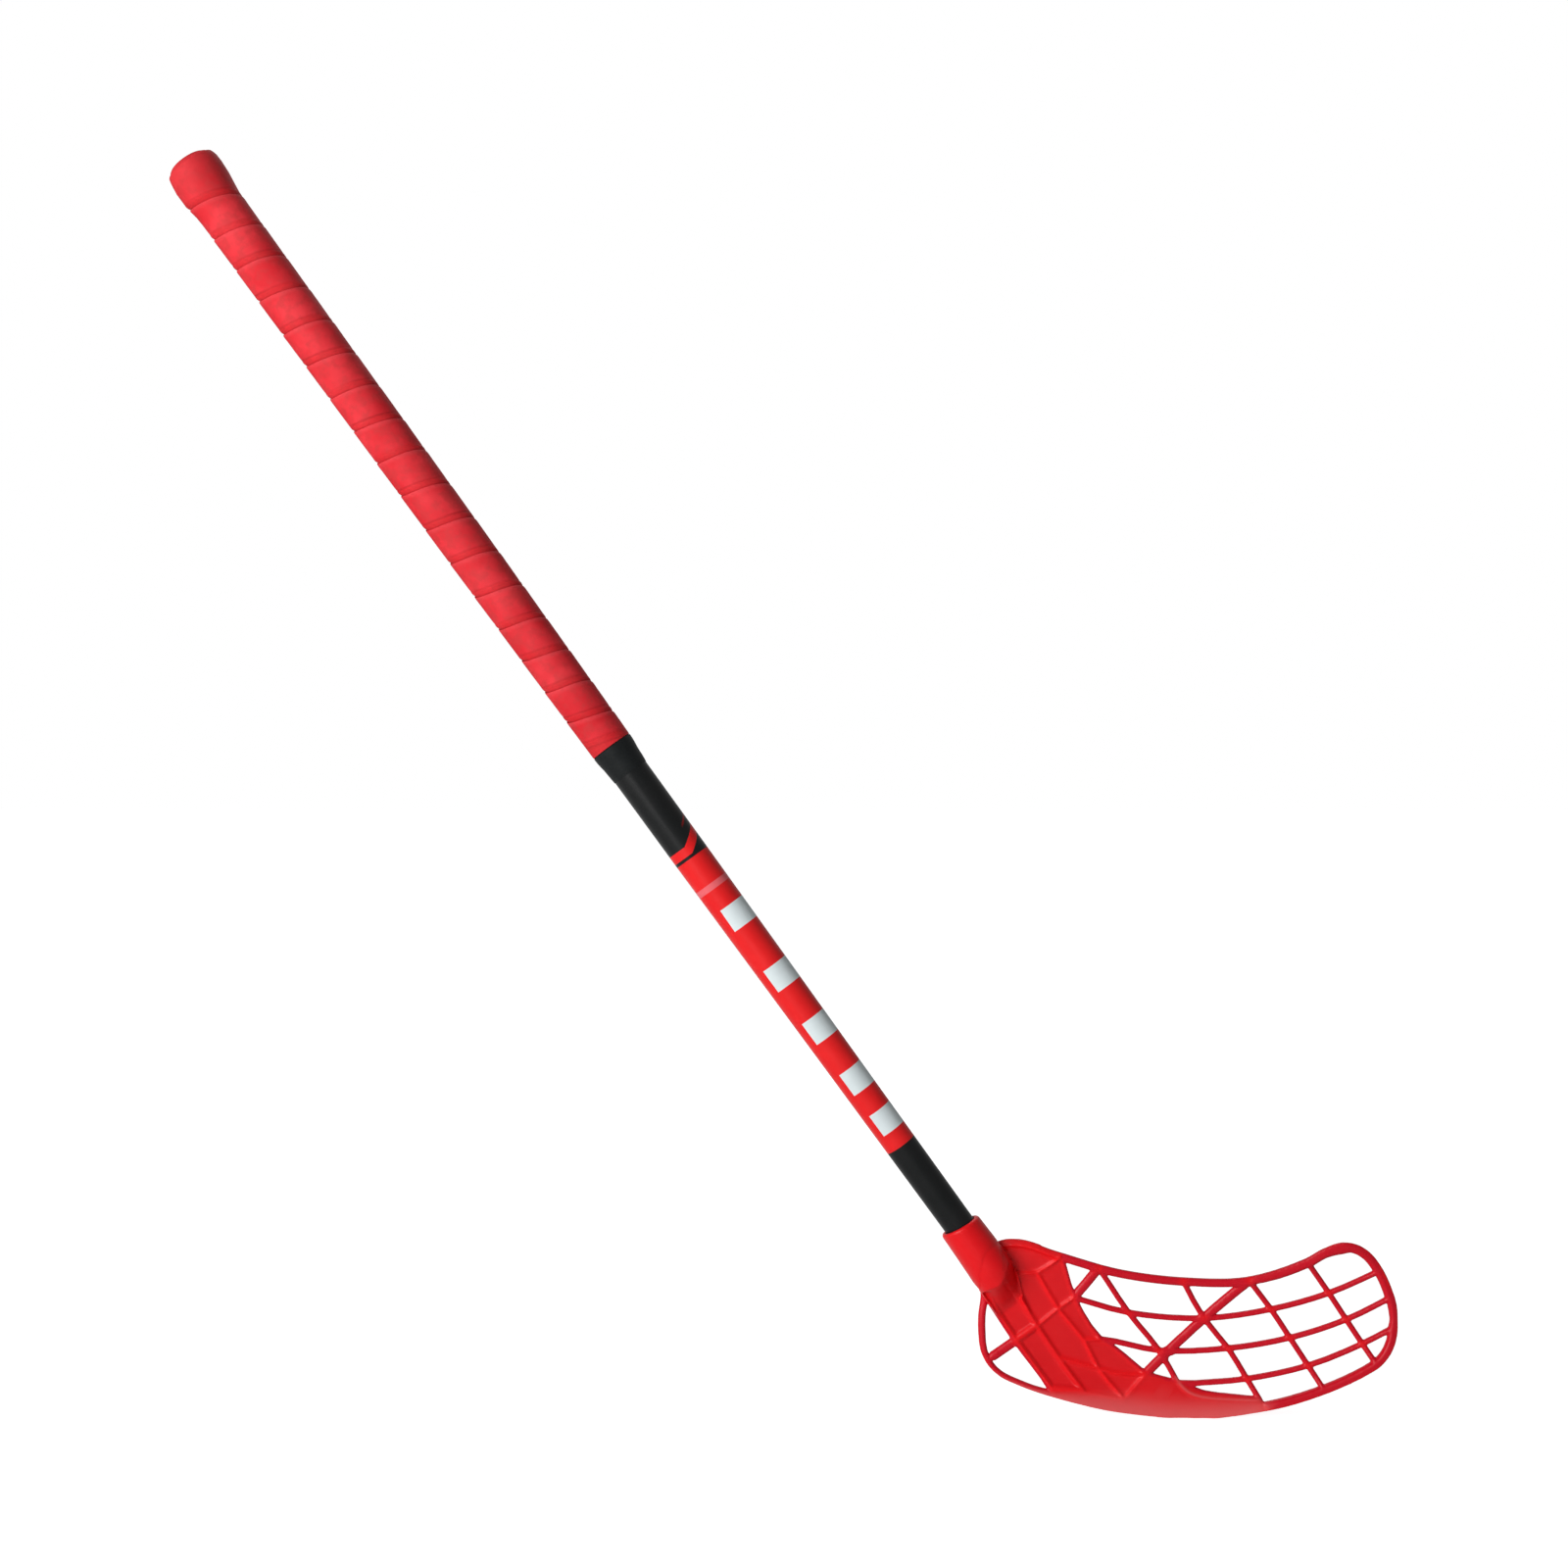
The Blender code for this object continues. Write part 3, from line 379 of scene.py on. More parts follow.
def lacquer():
    """The shaft's printed lacquer: red, black zones, white blocks, a pale band and a kinked stripe."""
    coat = Finish("shaft_lacquer", Specular_IOR_Level=0.16)
    local = coat.shaft_place()
    x, y, z = coat.axes(local)
    around = x.math("ARCTAN2", -y)
    arc = around * PRINT_RADIUS
    height = z * 1000
    mottle = coat.noise(local, 60, 3)
    fine = coat.noise(local, 420, 2)
    scuffs = coat.noise(coat.stretched(local, 900, 900, 60), 1, 2)
    # On the toe side the stripe climbs to the shaft's side, and falls again round the back
    climb = (STRIPE_TURN - abs(arc - STRIPE_TURN)).math("MAXIMUM", 0)
    rise_top = (climb - 0.5).math("MAXIMUM", 0) * STRIPE_SLOPE
    rise_foot = (climb - 2.3).math("MAXIMUM", 0) * STRIPE_SLOPE
    stripe_foot, stripe_top = STRIPE
    stripe = height.between(stripe_foot + rise_foot, stripe_top + rise_top, PRINT_EDGE)
    line = THIN_LINE + climb * STRIPE_SLOPE
    thin_line = height.between(line - 0.8, line + 0.8, 0.9) * climb.above(8.5, 3.5)
    upper_black = height.above(UPPER_BLACK_FOOT, PRINT_EDGE) * (1 - stripe) * (1 - thin_line * 0.35)
    foot_black = 1 - height.above(FOOT_BLACK_TOP, PRINT_EDGE)
    red = coat.mix(mottle.above(0.56, 0.5), (0.90, 0.020, 0.021), (0.84, 0.015, 0.017))
    paint = coat.mix(height.between(*PALE_BAND, 0.4), red, (0.90, 0.15, 0.17))
    # Down the shaft the blocks reach a little further round towards the heel side
    start = BLOCK_START - (258 - height).math("MULTIPLY", 0.0025).math("MINIMUM", 0.08)
    across = around.between(start, BLOCK_END, 0.012)
    first, *others = [height.between(low, high, PRINT_EDGE) for low, high in BLOCKS]
    block = sum(others, start=first)
    white = coat.mix(mottle.above(0.5, 0.8), (0.80, 0.89, 0.90), (0.76, 0.84, 0.86))
    paint = coat.mix(block * across, paint, white)
    black_share = upper_black.math("ADD", foot_black, clamp=True)
    black = coat.mix(mottle.above(0.5, 0.6), (0.005, 0.0065, 0.0065), (0.010, 0.010, 0.0105))
    paint = coat.mix(black_share, paint, black)
    rough = 0.30 + mottle * 0.08 + scuffs.above(0.66, 0.2) * 0.12
    height_map = fine * 0.6 + scuffs * 0.4
    return coat.paint(Base_Color=paint, Roughness=rough, Normal=coat.bump(height_map, 0.00002))


def soft_wrap():
    """The grip's wrap: matt, mottled and faintly pebbled, with painted shade along each join, in the crease above it
    and over the band above it, a painted highlight along the proud edge below it, and painted shade over the knob.
    """
    wrap = Finish("grip_wrap", Specular_IOR_Level=0.2)
    local = wrap.shaft_place()
    turn = wrap.attribute("turn")
    below = wrap.attribute("below_edge") * 1000
    above = wrap.attribute("above_join") * 1000
    large = wrap.noise(local, 38, 3)
    patches = wrap.noise(local, 130, 3, 0.6)
    pebble_inputs = {"Vector": local, "Scale": 1300.0}
    pebble = wrap.node("ShaderNodeTexVoronoi", {"feature": "SMOOTH_F1"}, pebble_inputs, "Distance")
    streaks = wrap.noise(wrap.vector(turn * 40, below * 1.1, 0.0), 1, 3)
    # Painted highlight: a paler band along each turn's proud upper edge, just below the join.
    edge = (1 - below.above(2.2, 2.6)) * (0.6 + patches * 0.6)
    # Painted shade: a darker band over each turn just above the join below it.
    lap = 1 - above.above(5.2, 1.6)
    pressed = wrap.noise(wrap.vector(turn * 0.9, 0.0, 0.0), 1, 1)
    # Painted shade in the crease above each join, stronger where the noise presses the crease in.
    crease = above.between(4.2, 5.4, 1.1) * pressed.above(0.52, 0.22)
    # Painted shade: the knob, from about 838 mm above the mouth upwards, darker.
    knob_shade = (wrap.axes(local)[2] * 1000).above(838, 14)
    # Painted shade: a dark line right along each join.
    seam = above.between(-0.4, 1.0, 0.9)
    base = wrap.mix(large.above(0.5, 0.26), (0.82, 0.040, 0.052), (0.70, 0.019, 0.028))
    base = wrap.mix(patches.above(0.54, 0.18) * 0.6, base, (0.58, 0.034, 0.038))
    base = wrap.mix(edge * 0.5, base, (0.82, 0.070, 0.084))
    base = wrap.mix(lap * 0.4, base, (0.68, 0.014, 0.018))
    base = wrap.mix(knob_shade * 0.45, base, (0.58, 0.026, 0.032))
    base = wrap.mix(seam * 0.35, base, (0.36, 0.010, 0.014))
    base = wrap.mix(crease * 0.55, base, (0.36, 0.010, 0.014))
    base = wrap.mix(streaks.above(0.56, 0.2) * (edge + lap) * 0.22, base, (0.40, 0.014, 0.018))
    rough = 0.62 + large * 0.12 + pebble * 0.06
    heights = pebble * 0.35 + streaks * (edge + lap + 0.2) * 0.9 + patches * 0.8 - crease * 0.8
    return wrap.paint(Base_Color=base, Roughness=rough, Normal=wrap.bump(heights, 0.00012))


def band_tape():
    """The black tape under the grip."""
    tape = Finish("band_tape", Specular_IOR_Level=0.12)
    local = tape.shaft_place()
    x, y, z = tape.axes(local)
    weave = tape.noise(tape.stretched(local, 1, 1, 3), 500, 2)
    streaks = tape.noise(tape.vector(x.math("ARCTAN2", -y) * 3, z * 900, 0.0), 1, 2)
    base = tape.mix(streaks, (0.006, 0.0075, 0.0078), (0.013, 0.0150, 0.0155))
    return tape.paint(
        Base_Color=base, Roughness=0.46 + weave * 0.14, Normal=tape.bump(weave * 0.5 + streaks, 0.00006),
    )


def blade_plastic():
    """Moulded blade plastic: painted highlight on its ridges and crossings, painted shade on its ribs, and on the lip
    a paler painted reflection of the floor with worn scuffs.
    """
    plastic = Finish("blade_plastic", Specular_IOR_Level=0.22)
    place = plastic.place()
    ridge = plastic.attribute("ridge")
    rib = plastic.attribute("rib")
    lip = plastic.attribute("lip")
    flow = plastic.noise(place, 25, 3)
    fine = plastic.noise(place, 700, 2)
    scuffs = plastic.noise(plastic.stretched(place, 60, 300, 1400), 1, 3)
    worn = scuffs.above(0.60, 0.16) * (0.15 + lip * 0.5)
    base = plastic.mix(flow.above(0.5, 0.5), (0.86, 0.010, 0.015), (0.78, 0.007, 0.012))
    # Painted shade: the ribs darker.
    base = plastic.mix(rib * 0.75, base, (0.66, 0.002, 0.020))
    # Painted highlight: the ridges and the crossings' pads brighter.
    base = plastic.mix(ridge, base, (0.97, 0.006, 0.010))
    # Painted reflection of the floor: the lip paler pink, with a painted highlight along its crest.
    base = plastic.mix(lip, base, (0.85, 0.12, 0.125))
    base = plastic.mix(worn * 0.20, base, (0.82, 0.13, 0.14))
    rough = 0.30 + flow * 0.06 + fine * 0.05 + worn * 0.15
    return plastic.paint(Base_Color=base, Roughness=rough, Normal=plastic.bump(fine * 0.6 + flow, 0.00004))


def cap_rubber():
    """The butt cap's moulded rubber."""
    rubber = Finish("cap_rubber", Specular_IOR_Level=0.3)
    local = rubber.shaft_place()
    grain = rubber.noise(local, 1500, 2)
    large = rubber.noise(local, 90, 2)
    base = rubber.mix(large, (0.66, 0.026, 0.034), (0.56, 0.018, 0.026))
    return rubber.paint(Base_Color=base, Roughness=0.55 + large * 0.12, Normal=rubber.bump(grain, 0.00006))


def ring_foam():
    """The open-celled foam under the grip's top."""
    foam = Finish("ring_foam")
    local = foam.shaft_place()
    cells = foam.node("ShaderNodeTexVoronoi", {}, {"Vector": local, "Scale": 900.0}, "Distance")
    base = foam.mix(cells, (0.12, 0.12, 0.13), (0.26, 0.26, 0.27))
    return foam.paint(Base_Color=base, Roughness=0.85 + cells * 0.1, Normal=foam.bump(cells, 0.0002))


def screw_steel():
    """Plated screw steel with a fine grain."""
    steel = Finish("screw_steel", Metallic=1.0)
    place = steel.place()
    grain = steel.noise(place, 2500, 2)
    base = steel.mix(grain, (0.62, 0.62, 0.63), (0.48, 0.48, 0.50))
    return steel.paint(Base_Color=base, Roughness=0.26 + grain * 0.16, Normal=steel.bump(grain, 0.00002))


# Shapes

def blend(value, low, high):
    """Rises smoothly from 0 to 1 as the value goes from low to high."""
    share = min(max((value - low) / (high - low), 0), 1)
    return share * share * (3 - 2 * share)


def shown(name, bm):
    """An object in the scene with the bmesh's shape. Frees the bmesh."""
    mesh = bpy.data.meshes.new(name)
    bm.to_mesh(mesh)
    bm.free()
    obj = bpy.data.objects.new(name, mesh)
    bpy.context.scene.collection.objects.link(obj)
    return obj


def piece(name, bm, material, node):
    """A finished piece that rides on the stick and stands for a CAD node."""
    obj = shown(name, bm)
    obj.data.materials.append(material)
    obj.data.shade_smooth()
    obj.data.set_sharp_from_angle(angle=math.radians(40))
    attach(obj, "root")
    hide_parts(node)
    return obj


def apply_modifiers(obj):
    """Gives the object the mesh that its modifiers make."""
    graph = bpy.context.evaluated_depsgraph_get()
    mesh = bpy.data.meshes.new_from_object(obj.evaluated_get(graph))
    obj.modifiers.clear()
    obj.data = mesh


def spun(profile, sides):
    """A profile of radius and height points, turned about Z into a shell. It closes on itself or on the axis."""
    bm = bmesh.new()
    verts = [bm.verts.new((radius, 0, height)) for radius, height in profile]
    on_axis = profile[0][0] == 0
    edges = [bm.edges.new(pair) for pair in zip(verts, verts[1:] if on_axis else verts[1:] + verts[:1])]
    bmesh.ops.spin(
        bm, geom=verts + edges, cent=(0, 0, 0), axis=(0, 0, 1), angle=math.tau, steps=sides, use_merge=True
    )
    bmesh.ops.remove_doubles(bm, verts=bm.verts[:], dist=0.000001)
    bmesh.ops.recalc_face_normals(bm, faces=bm.faces[:])
    return bm


def shaft_radius(height):
    """The tube's outer radius at a height."""
    for (low, low_radius), (high, high_radius) in zip(SHAFT_STATIONS, SHAFT_STATIONS[1:]):
        if height <= high:
            share = max((height - low) / (high - low), 0)
            return low_radius + share * (high_radius - low_radius)
    return SHAFT_STATIONS[-1][1]


def make_shaft(material):
    """The tapering tube, with its ends' edges eased."""
    ease = 0.0003
    outer = [(radius, height) for height, radius in reversed(SHAFT_STATIONS)]
    top_radius, top = outer[0]
    foot_radius, foot = outer[-1]
    outer = [(top_radius - ease, top), (top_radius, top - ease), *outer[1:-1]]
    outer += [(foot_radius, foot + ease), (foot_radius - ease, foot)]
    inner = [(radius - SHAFT_WALL, height) for height, radius in SHAFT_STATIONS]
    bm = spun(outer + inner, SHAFT_SIDES)
    bmesh.ops.transform(bm, matrix=SHAFT_PLACE, verts=bm.verts[:])
    piece("shaft", bm, material, "shaft_tube")


def knob_rise(down):
    """How far the knob stands out from the plain grip, at a distance below the grip's top."""
    rise = KNOB_RISE * (1 - blend(down, KNOB_SHOULDER, KNOB_LENGTH))
    corner = 1 - min(max(down / KNOB_CORNER, 0), 1)
    return rise - KNOB_CORNER_DROP * (1 - math.sqrt(1 - corner * corner))


def grip_bed(height):
    """The radius of the wrap's inner side."""
    plain = (shaft_radius(height) + FIT_GAP) / math.cos(math.pi / CAD_LOOP_POINTS)
    return plain + max(knob_rise(GRIP_TOP - height), 0)


def grip_radius(height):
    """The finished grip's outer radius at a height."""
    return grip_bed(height) + TAPE_THICKNESS + min(knob_rise(GRIP_TOP - height), 0)


def drift(turn):
    """How far a join lies above its even place."""
    place = min(max(turn - DRIFT_START, 0), len(JOIN_DRIFTS) - 1.001)
    first = math.floor(place)
    share = blend(place - first, 0, 1)
    return (JOIN_DRIFTS[first] * (1 - share) + JOIN_DRIFTS[first + 1] * share) / 1000


def join_height(turn):
    """The height of the wrap's upper edge after a number of turns."""
    return JOIN_HEIGHT - turn * TAPE_PITCH + drift(turn) + 0.00022 * math.sin(turn * 9.1)


def tape_section(turn, start, end):
    """The wrap's section after a number of turns: radius and height points from its upper edge round to its back."""
    slack = SEAM_GAP / 2
    over_one = turn - 1 > start - slack
    under_one = turn + 1 < end + slack
    step_here = blend(turn, *LAP_SHOWS)
    step_below = blend(turn + 1, *LAP_SHOWS)
    toeward = math.cos(math.pi * (1 + 2 * turn))
    wavering = 0.75 + 0.25 * math.sin(turn * 1.7 + 0.6)
    upper = join_height(turn) if over_one else GRIP_TOP
    lower = join_height(turn + 1) - TAPE_OVERLAP if under_one else GRIP_END
    lap = (TAPE_THICKNESS + TAPE_STEP - LAP_GAP) * 0.3
    shoulder = lower + TAPE_OVERLAP * (1.3 + 1.2 * step_below) if under_one else lower + CUT_TAPER
    inner_edge = upper - TAPE_OVERLAP * 3 if over_one else upper + (shoulder - upper) * 0.1
    proud = TAPE_STEP * wavering * step_here if over_one else 0
    span = upper - shoulder
    edge = min(LAP_EDGE, span * 0.15) if over_one else CROWN_EDGE
    crease = shoulder + min(CREASE_RISE, span * 0.3)
    crease_half = min(CREASE_HALF, span * 0.08)
    chamfer = edge * (0.06 + 0.16 * step_here) if over_one else CROWN_CHAMFER
    points = [
        (grip_radius(upper) + proud - chamfer, upper),
        (grip_radius(upper) + proud - chamfer * 0.3, upper - edge * 0.35),
        (grip_radius(upper - edge) + proud, upper - edge),
    ]
    face_top = upper - edge
    face = face_top - crease - crease_half
    shares = (0.10, 0.28, 0.60, 0.92) if over_one else (0.04, 0.12, 0.28, 0.55)
    for share, lift in zip(shares, (0.00026, 0.00008, 0.00005, -0.00002)):
        height = face_top - face * share
        points.append((grip_radius(height) + min(proud, lift), height))
    under = CREASE_DEPTH * wavering ** 3 * step_below if under_one else 0.00002
    points += [
        (grip_radius(crease) - under, crease + crease_half * 0.25),
        (grip_radius(crease) - under, crease - crease_half * 0.25),
        (grip_radius(crease) + under * 0.1, crease - crease_half),
        (grip_radius(shoulder) - (0.00008 * step_below if under_one else CUT_TAPER), shoulder),
    ]
    middle = (shoulder + lower) / 2
    depth = grip_radius(shoulder) - grip_bed(shoulder)
    points += [
        (grip_bed(middle) + depth * (0.55 if under_one else 0.92), middle),
        (grip_bed(lower) + (lap if under_one else depth * 0.85), lower),
        (grip_bed(lower), lower),
        (grip_bed((upper + shoulder) / 2), (upper + shoulder) / 2),
        (grip_bed(inner_edge), inner_edge),
        (grip_radius(upper) + proud - lap if over_one else grip_bed(upper), upper),
    ]
    lean = KNOB_LEAN * toeward
    return [(radius + lean * hump(height - KNOB_LEAN_HEIGHT, KNOB_LEAN_REACH), height) for radius, height in points]


def make_wrap(material):
    """The grip's wrap: one band in real turns, each lapped over the turn above it."""
    start, end = WRAP_START, WRAP_END
    steps = math.floor((end - start) * TAPE_LOOP_POINTS)
    turns = [start + (end - start) * i / steps for i in range(steps + 1)]
    # Where a turn starts or stops having a neighbour, its section changes within a hair's breadth
    seam = round(steps / (end - start))
    turns[seam] = start + 1 - SEAM_GAP
    turns[seam + 1] = start + 1
    turns[-seam - 2] = end - 1
    turns[-seam - 1] = end - 1 + SEAM_GAP
    sections = [tape_section(turn, start, end) for turn in turns]
    bm = bmesh.new()
    turn_layer = bm.verts.layers.float.new("turn")
    below_layer = bm.verts.layers.float.new("below_edge")
    above_layer = bm.verts.layers.float.new("above_join")
    # A plain coil is spun first, which knows each point's step by its height and its section's point by a number
    ring = [bm.verts.new((1 + i * 0.01, 0, 0)) for i in range(len(sections[0]))]
    for i, vert in enumerate(ring):
        vert[turn_layer] = i
    edges = [bm.edges.new(pair) for pair in zip(ring, ring[1:] + ring[:1])]
    bmesh.ops.spin(
        bm, geom=ring + edges, cent=(0, 0, 0), axis=(0, 0, 1), dvec=(0, 0, 1.0), angle=math.tau, steps=steps,
        use_merge=False,
    )
    for vert in bm.verts:
        step = round(vert.co.z)
        turn = turns[step]
        radius, height = sections[step][round(vert[turn_layer])]
        angle = math.pi * (1 + 2 * turn)
        vert[turn_layer] = turn
        vert[below_layer] = max(0, sections[step][0][1] - height) + OUT_OF_SIGHT * (1 - blend(turn, *LAP_SHOWS))
        vert[above_layer] = height - join_height(turn + 1) + OUT_OF_SIGHT * (1 - blend(turn + 1, *LAP_SHOWS))
        vert.co = (radius * math.cos(angle), radius * math.sin(angle), height)
    bmesh.ops.holes_fill(bm, edges=bm.edges[:], sides=0)
    bmesh.ops.recalc_face_normals(bm, faces=bm.faces[:])
    bmesh.ops.transform(bm, matrix=SHAFT_PLACE, verts=bm.verts[:])
    piece("grip_wrap", bm, material, "grip_tape")


def make_band(material):
    """The black tape that closes the grip's lower end: it thins out downwards, and its end shows at the back."""
    top = GRIP_END - FIT_GAP
    foot = top - BAND_LENGTH
    outer = [(shaft_radius(top - down) + rise, top - down) for down, rise in BAND_PROFILE]
    inner = [(shaft_radius(foot) + 0.00005, foot)]
    inner += [(shaft_radius(height) + FIT_GAP, height) for height in (top - 0.0130, top)]
    bm = spun(outer + inner, SHAFT_SIDES)
    # Only the outside steps up towards the tape's end
    for vert in bm.verts:
        radius = math.hypot(vert.co.x, vert.co.y)
        thickness = radius - shaft_radius(vert.co.z) - FIT_GAP
        if thickness > 0.0003:
            share = (math.atan2(vert.co.x, -vert.co.y) / math.tau + BAND_END_TURN) % 1
            grown = 1 + share * BAND_END_STEP / radius
            vert.co.x *= grown
            vert.co.y *= grown
    bmesh.ops.transform(bm, matrix=SHAFT_PLACE, verts=bm.verts[:])
    piece("finishing_tape", bm, material, "finishing_band")


def make_cap(material):
    """The butt cap, with a shallow dish in its end."""
    seat = SHAFT_TOP + FIT_GAP
    top = seat + CAP_FLANGE
    flange = shaft_radius(SHAFT_TOP)
    skirt = shaft_radius(SHAFT_TOP - CAP_SKIRT) - SHAFT_WALL - FIT_GAP
    hollow = skirt - CAP_WALL
    profile = [
        (0, top - DISH_DEPTH), (0.0050, top - DISH_DEPTH), (0.0060, top - 0.0004), (0.0068, top),
        (flange - 0.0046, top), (flange - 0.0030, top - 0.0002), (flange - 0.0015, top - 0.0007),
        (flange - 0.0005, top - 0.0014), (flange, top - 0.0024), (flange, seat),
        (skirt, seat), (skirt, seat - 0.0245), (skirt - 0.0006, seat - CAP_SKIRT), (hollow, seat - CAP_SKIRT),
        (hollow, seat - CAP_WALL), (0, seat - CAP_WALL),
    ]
    bm = spun(profile, CAP_SIDES)
    bmesh.ops.transform(bm, matrix=SHAFT_PLACE, verts=bm.verts[:])
    piece("end_cap", bm, material, "butt_cap")


def make_screw(number, height, material):
    """A pan-headed screw with a crossed slot, driven in from the hosel's back."""
    top, foot, head, shank = SCREW_HEAD_TOP, SCREW_HEAD_FOOT, SCREW_HEAD, SCREW_SHANK
    profile = [
        (0, top), (head * 0.45, top - 0.00003), (head * 0.68, top - 0.00012), (head * 0.86, top - 0.00036),
        (head * 0.96, top - 0.00072), (head, top - 0.0011), (head, foot + 0.0001), (head - 0.0001, foot),
        (shank, foot),
    ]
    root = shank * THREAD_ROOT
    for i in range(THREADS):
        crest = foot - 0.0006 - (foot - SCREW_TIP - 0.0016) * i / THREADS
        profile += [(root, crest + 0.0002), (shank, crest), (root, crest - 0.0002)]
    profile += [(root, SCREW_TIP + 0.001), (shank * 0.3, SCREW_TIP), (0, SCREW_TIP)]
    place = SHAFT_PLACE @ Matrix.Translation((0, 0, height)) @ Matrix.Rotation(-math.pi / 2, 4, "X")
    bm = spun(profile, SCREW_SIDES)
    bmesh.ops.transform(bm, matrix=place, verts=bm.verts[:])
    screw = piece(f"screw_{number}", bm, material, f"blade_screw_{number}")
    slot = bmesh.new()
    turn = math.radians(25 + 40 * number)
    for quarter in (0, math.pi / 2):
        arm = Matrix.Translation((0, 0, top)) @ Matrix.Rotation(turn + quarter, 4, "Z")
        arm @= Matrix.Diagonal((head * 1.05, SLOT_WIDTH, SLOT_DEPTH, 1))
        made = bmesh.ops.create_cube(slot, size=1, matrix=arm)
        for vert in made["verts"]:
            if vert.co.z < top:
                vert.co.x *= 0.55
                vert.co.y *= 0.55
    bmesh.ops.transform(slot, matrix=place, verts=slot.verts[:])
    bmesh.ops.recalc_face_normals(slot, faces=slot.faces[:])
    cutter = shown("slot", slot)
    cut = screw.modifiers.new("slot", "BOOLEAN")
    cut.operation = "DIFFERENCE"
    cut.solver = "EXACT"
    cut.use_self = True
    cut.object = cutter
    apply_modifiers(screw)
    bpy.data.objects.remove(cutter)
    screw.data.shade_smooth()
    screw.data.set_sharp_from_angle(angle=math.radians(30))


# The blade

def smooth_line(knots, closed=False):
    """Close points on a curve through the knots, whose handles follow the spans on both sides."""
    points = [Vector(knot) for knot in knots]
    ends = points[1:] + points[:1] if closed else points[1:]
    spans = list(zip(points, ends))
    headings = [(end - start).normalized() for start, end in spans]
    if closed:
        tangents = [(headings[i - 1] + headings[i]).normalized() for i in range(len(points))]
    else:
        inner = [(before + after).normalized() for before, after in zip(headings, headings[1:])]
        tangents = [headings[0], *inner, headings[-1]]
    line = []
    for i, (start, end) in enumerate(spans):
        reach = (end - start).length / 3
        handle_out = start + tangents[i] * reach
        handle_in = end - tangents[(i + 1) % len(points)] * reach
        count = max(3, round((end - start).length / 0.5))
        line.extend(point.to_2d() for point in interpolate_bezier(start, handle_out, handle_in, end, count))
    return line


def near(points):
    """A search tree over points of the drawing."""
    tree = KDTree(len(points))
    for i, point in enumerate(points):
        tree.insert((point[0], point[1], 0), i)
    tree.balance()
    return tree


def inside(x, z, region):
    """Whether a point of the drawing lies in a region."""
    found = False
    for (x0, z0), (x1, z1) in zip(region, region[1:] + region[:1]):
        if (z0 > z) != (z1 > z) and x < x0 + (z - z0) / (z1 - z0) * (x1 - x0):
            found = not found
    return found


def drawn(place):
    """Where the drawing shows a point of the blade."""
    away = 1 + place.y / EYE_DISTANCE
    return (EYE.x + (place.x - EYE.x) / away) * 1000, (EYE.z + (place.z - EYE.z) / away) * 1000


def hump(distance, width):
    """Falls smoothly from 1 at no distance."""
    return math.exp(-((distance / width) ** 2))


def hook(x):
    """How far the hook brings the blade towards the ball at a place along the drawing."""
    along = (x + DRAWN_HEEL) / DRAWN_LENGTH
    return HOOK * (max(along - HOOK_START, 0) / (1 - HOOK_START)) ** 2.2


def blade_middle(x, z):
    """How far the blade's middle surface lies behind the shaft's line, at a point of the drawing."""
    lip_flare = SETBACK - hook(0)
    middle_height = 46 + 25 * (x / 125) ** 2
    across = (z - middle_height) / 46
    flare = (lip_flare if across < 0 else TOP_FLARE) * abs(across) ** 3 * blend(x, -140, -70)
    return SETBACK - hook(x) - flare


class Drawing:
    """The drawing's lines, and what the blade's surface does at a point of it."""

    def __init__(self):
        outline = smooth_line(OUTLINE, closed=True)
        self.outline = near(outline)
        spans = zip(outline[-1:] + outline[:-1], outline[1:] + outline[:1])
        self.outward = [Vector((before.y - after.y, after.x - before.x)).normalized() for before, after in spans]
        self.ridges = near([point for ridge in RIDGES for point in smooth_line(ridge)])
        self.braces = near([point for brace in BRACES for point in smooth_line(brace)])
        self.crossings = near(CROSSINGS)
        self.lip_crest = near(smooth_line(LIP_CREST))
        self.sole = {}
        for point in outline:
            spot = round(point.x)
            if point.y < 60 and point.y < self.sole.get(spot, 60):
                self.sole[spot] = point.y

    def distance(self, lines, x, z):
        """From a point to the nearest of some lines."""
        return lines.find((x, z, 0))[2]

    def above_sole(self, x, z):
        """The height of a point above the outline's lower side."""
        return z - self.sole.get(round(x), 30)

    def ridge(self, x, z):
        """How much of a ridge's crest, or of a crossing's pad, a point has, for the painted highlight there."""
        if inside(x, z, WEB):
            return hump(self.distance(self.ridges, x, z), 1.9) * (1 - blend(x, -50, -28) * (1 - blend(z, 20, 27)))
        return hump(self.distance(self.crossings, x, z), 3.0) * 0.75

    def lip(self, x, z):
        """How much of the lip's painted reflection of the floor a point above the sole gets, with a painted highlight
        along the lip's crest.
        """
        on_lip = blend(x, -142, -100) * (1 - blend(x, 36, 56))
        reach = 3 + 15 * blend(x, -108, -45) - 5 * blend(x, 5, 45)
        height = self.above_sole(x, z)
        crest = hump(self.distance(self.lip_crest, x, z), 0.9) * 0.7
        return on_lip * max(1 - blend(height, -1, reach), crest)


def round_outline(bm, drawing):
    """Brings the rim's flats out to the drawing's smooth outline, and its inner edge with them."""
    walls = []
    for vert in bm.verts:
        x, z = drawn(vert.co)
        place, i, gap = drawing.outline.find((x, z, 0))
        out = drawing.outward[i]
        if gap < 1.4 and vert.normal.x * out.x + vert.normal.z * out.y > 0.85:
            walls.append((place.x, place.y, (place.x - x) * out.x + (place.y - z) * out.y))
    tree = near(walls)
    for vert in bm.verts:
        x, z = drawn(vert.co)
        place, i, gap = drawing.outline.find((x, z, 0))
        if gap > RIM_FADE[1] or inside(x, z, SPINE):
            continue
        found = tree.find_n((place.x, place.y, 0), WALLS_AVERAGED)
        step = sum(walls[j][2] for _, j, _ in found) / len(found)
        out = drawing.outward[i]
        vert.co += Vector((out.x, 0, out.y)) * step / 1000 * (1 - blend(gap, *RIM_FADE))


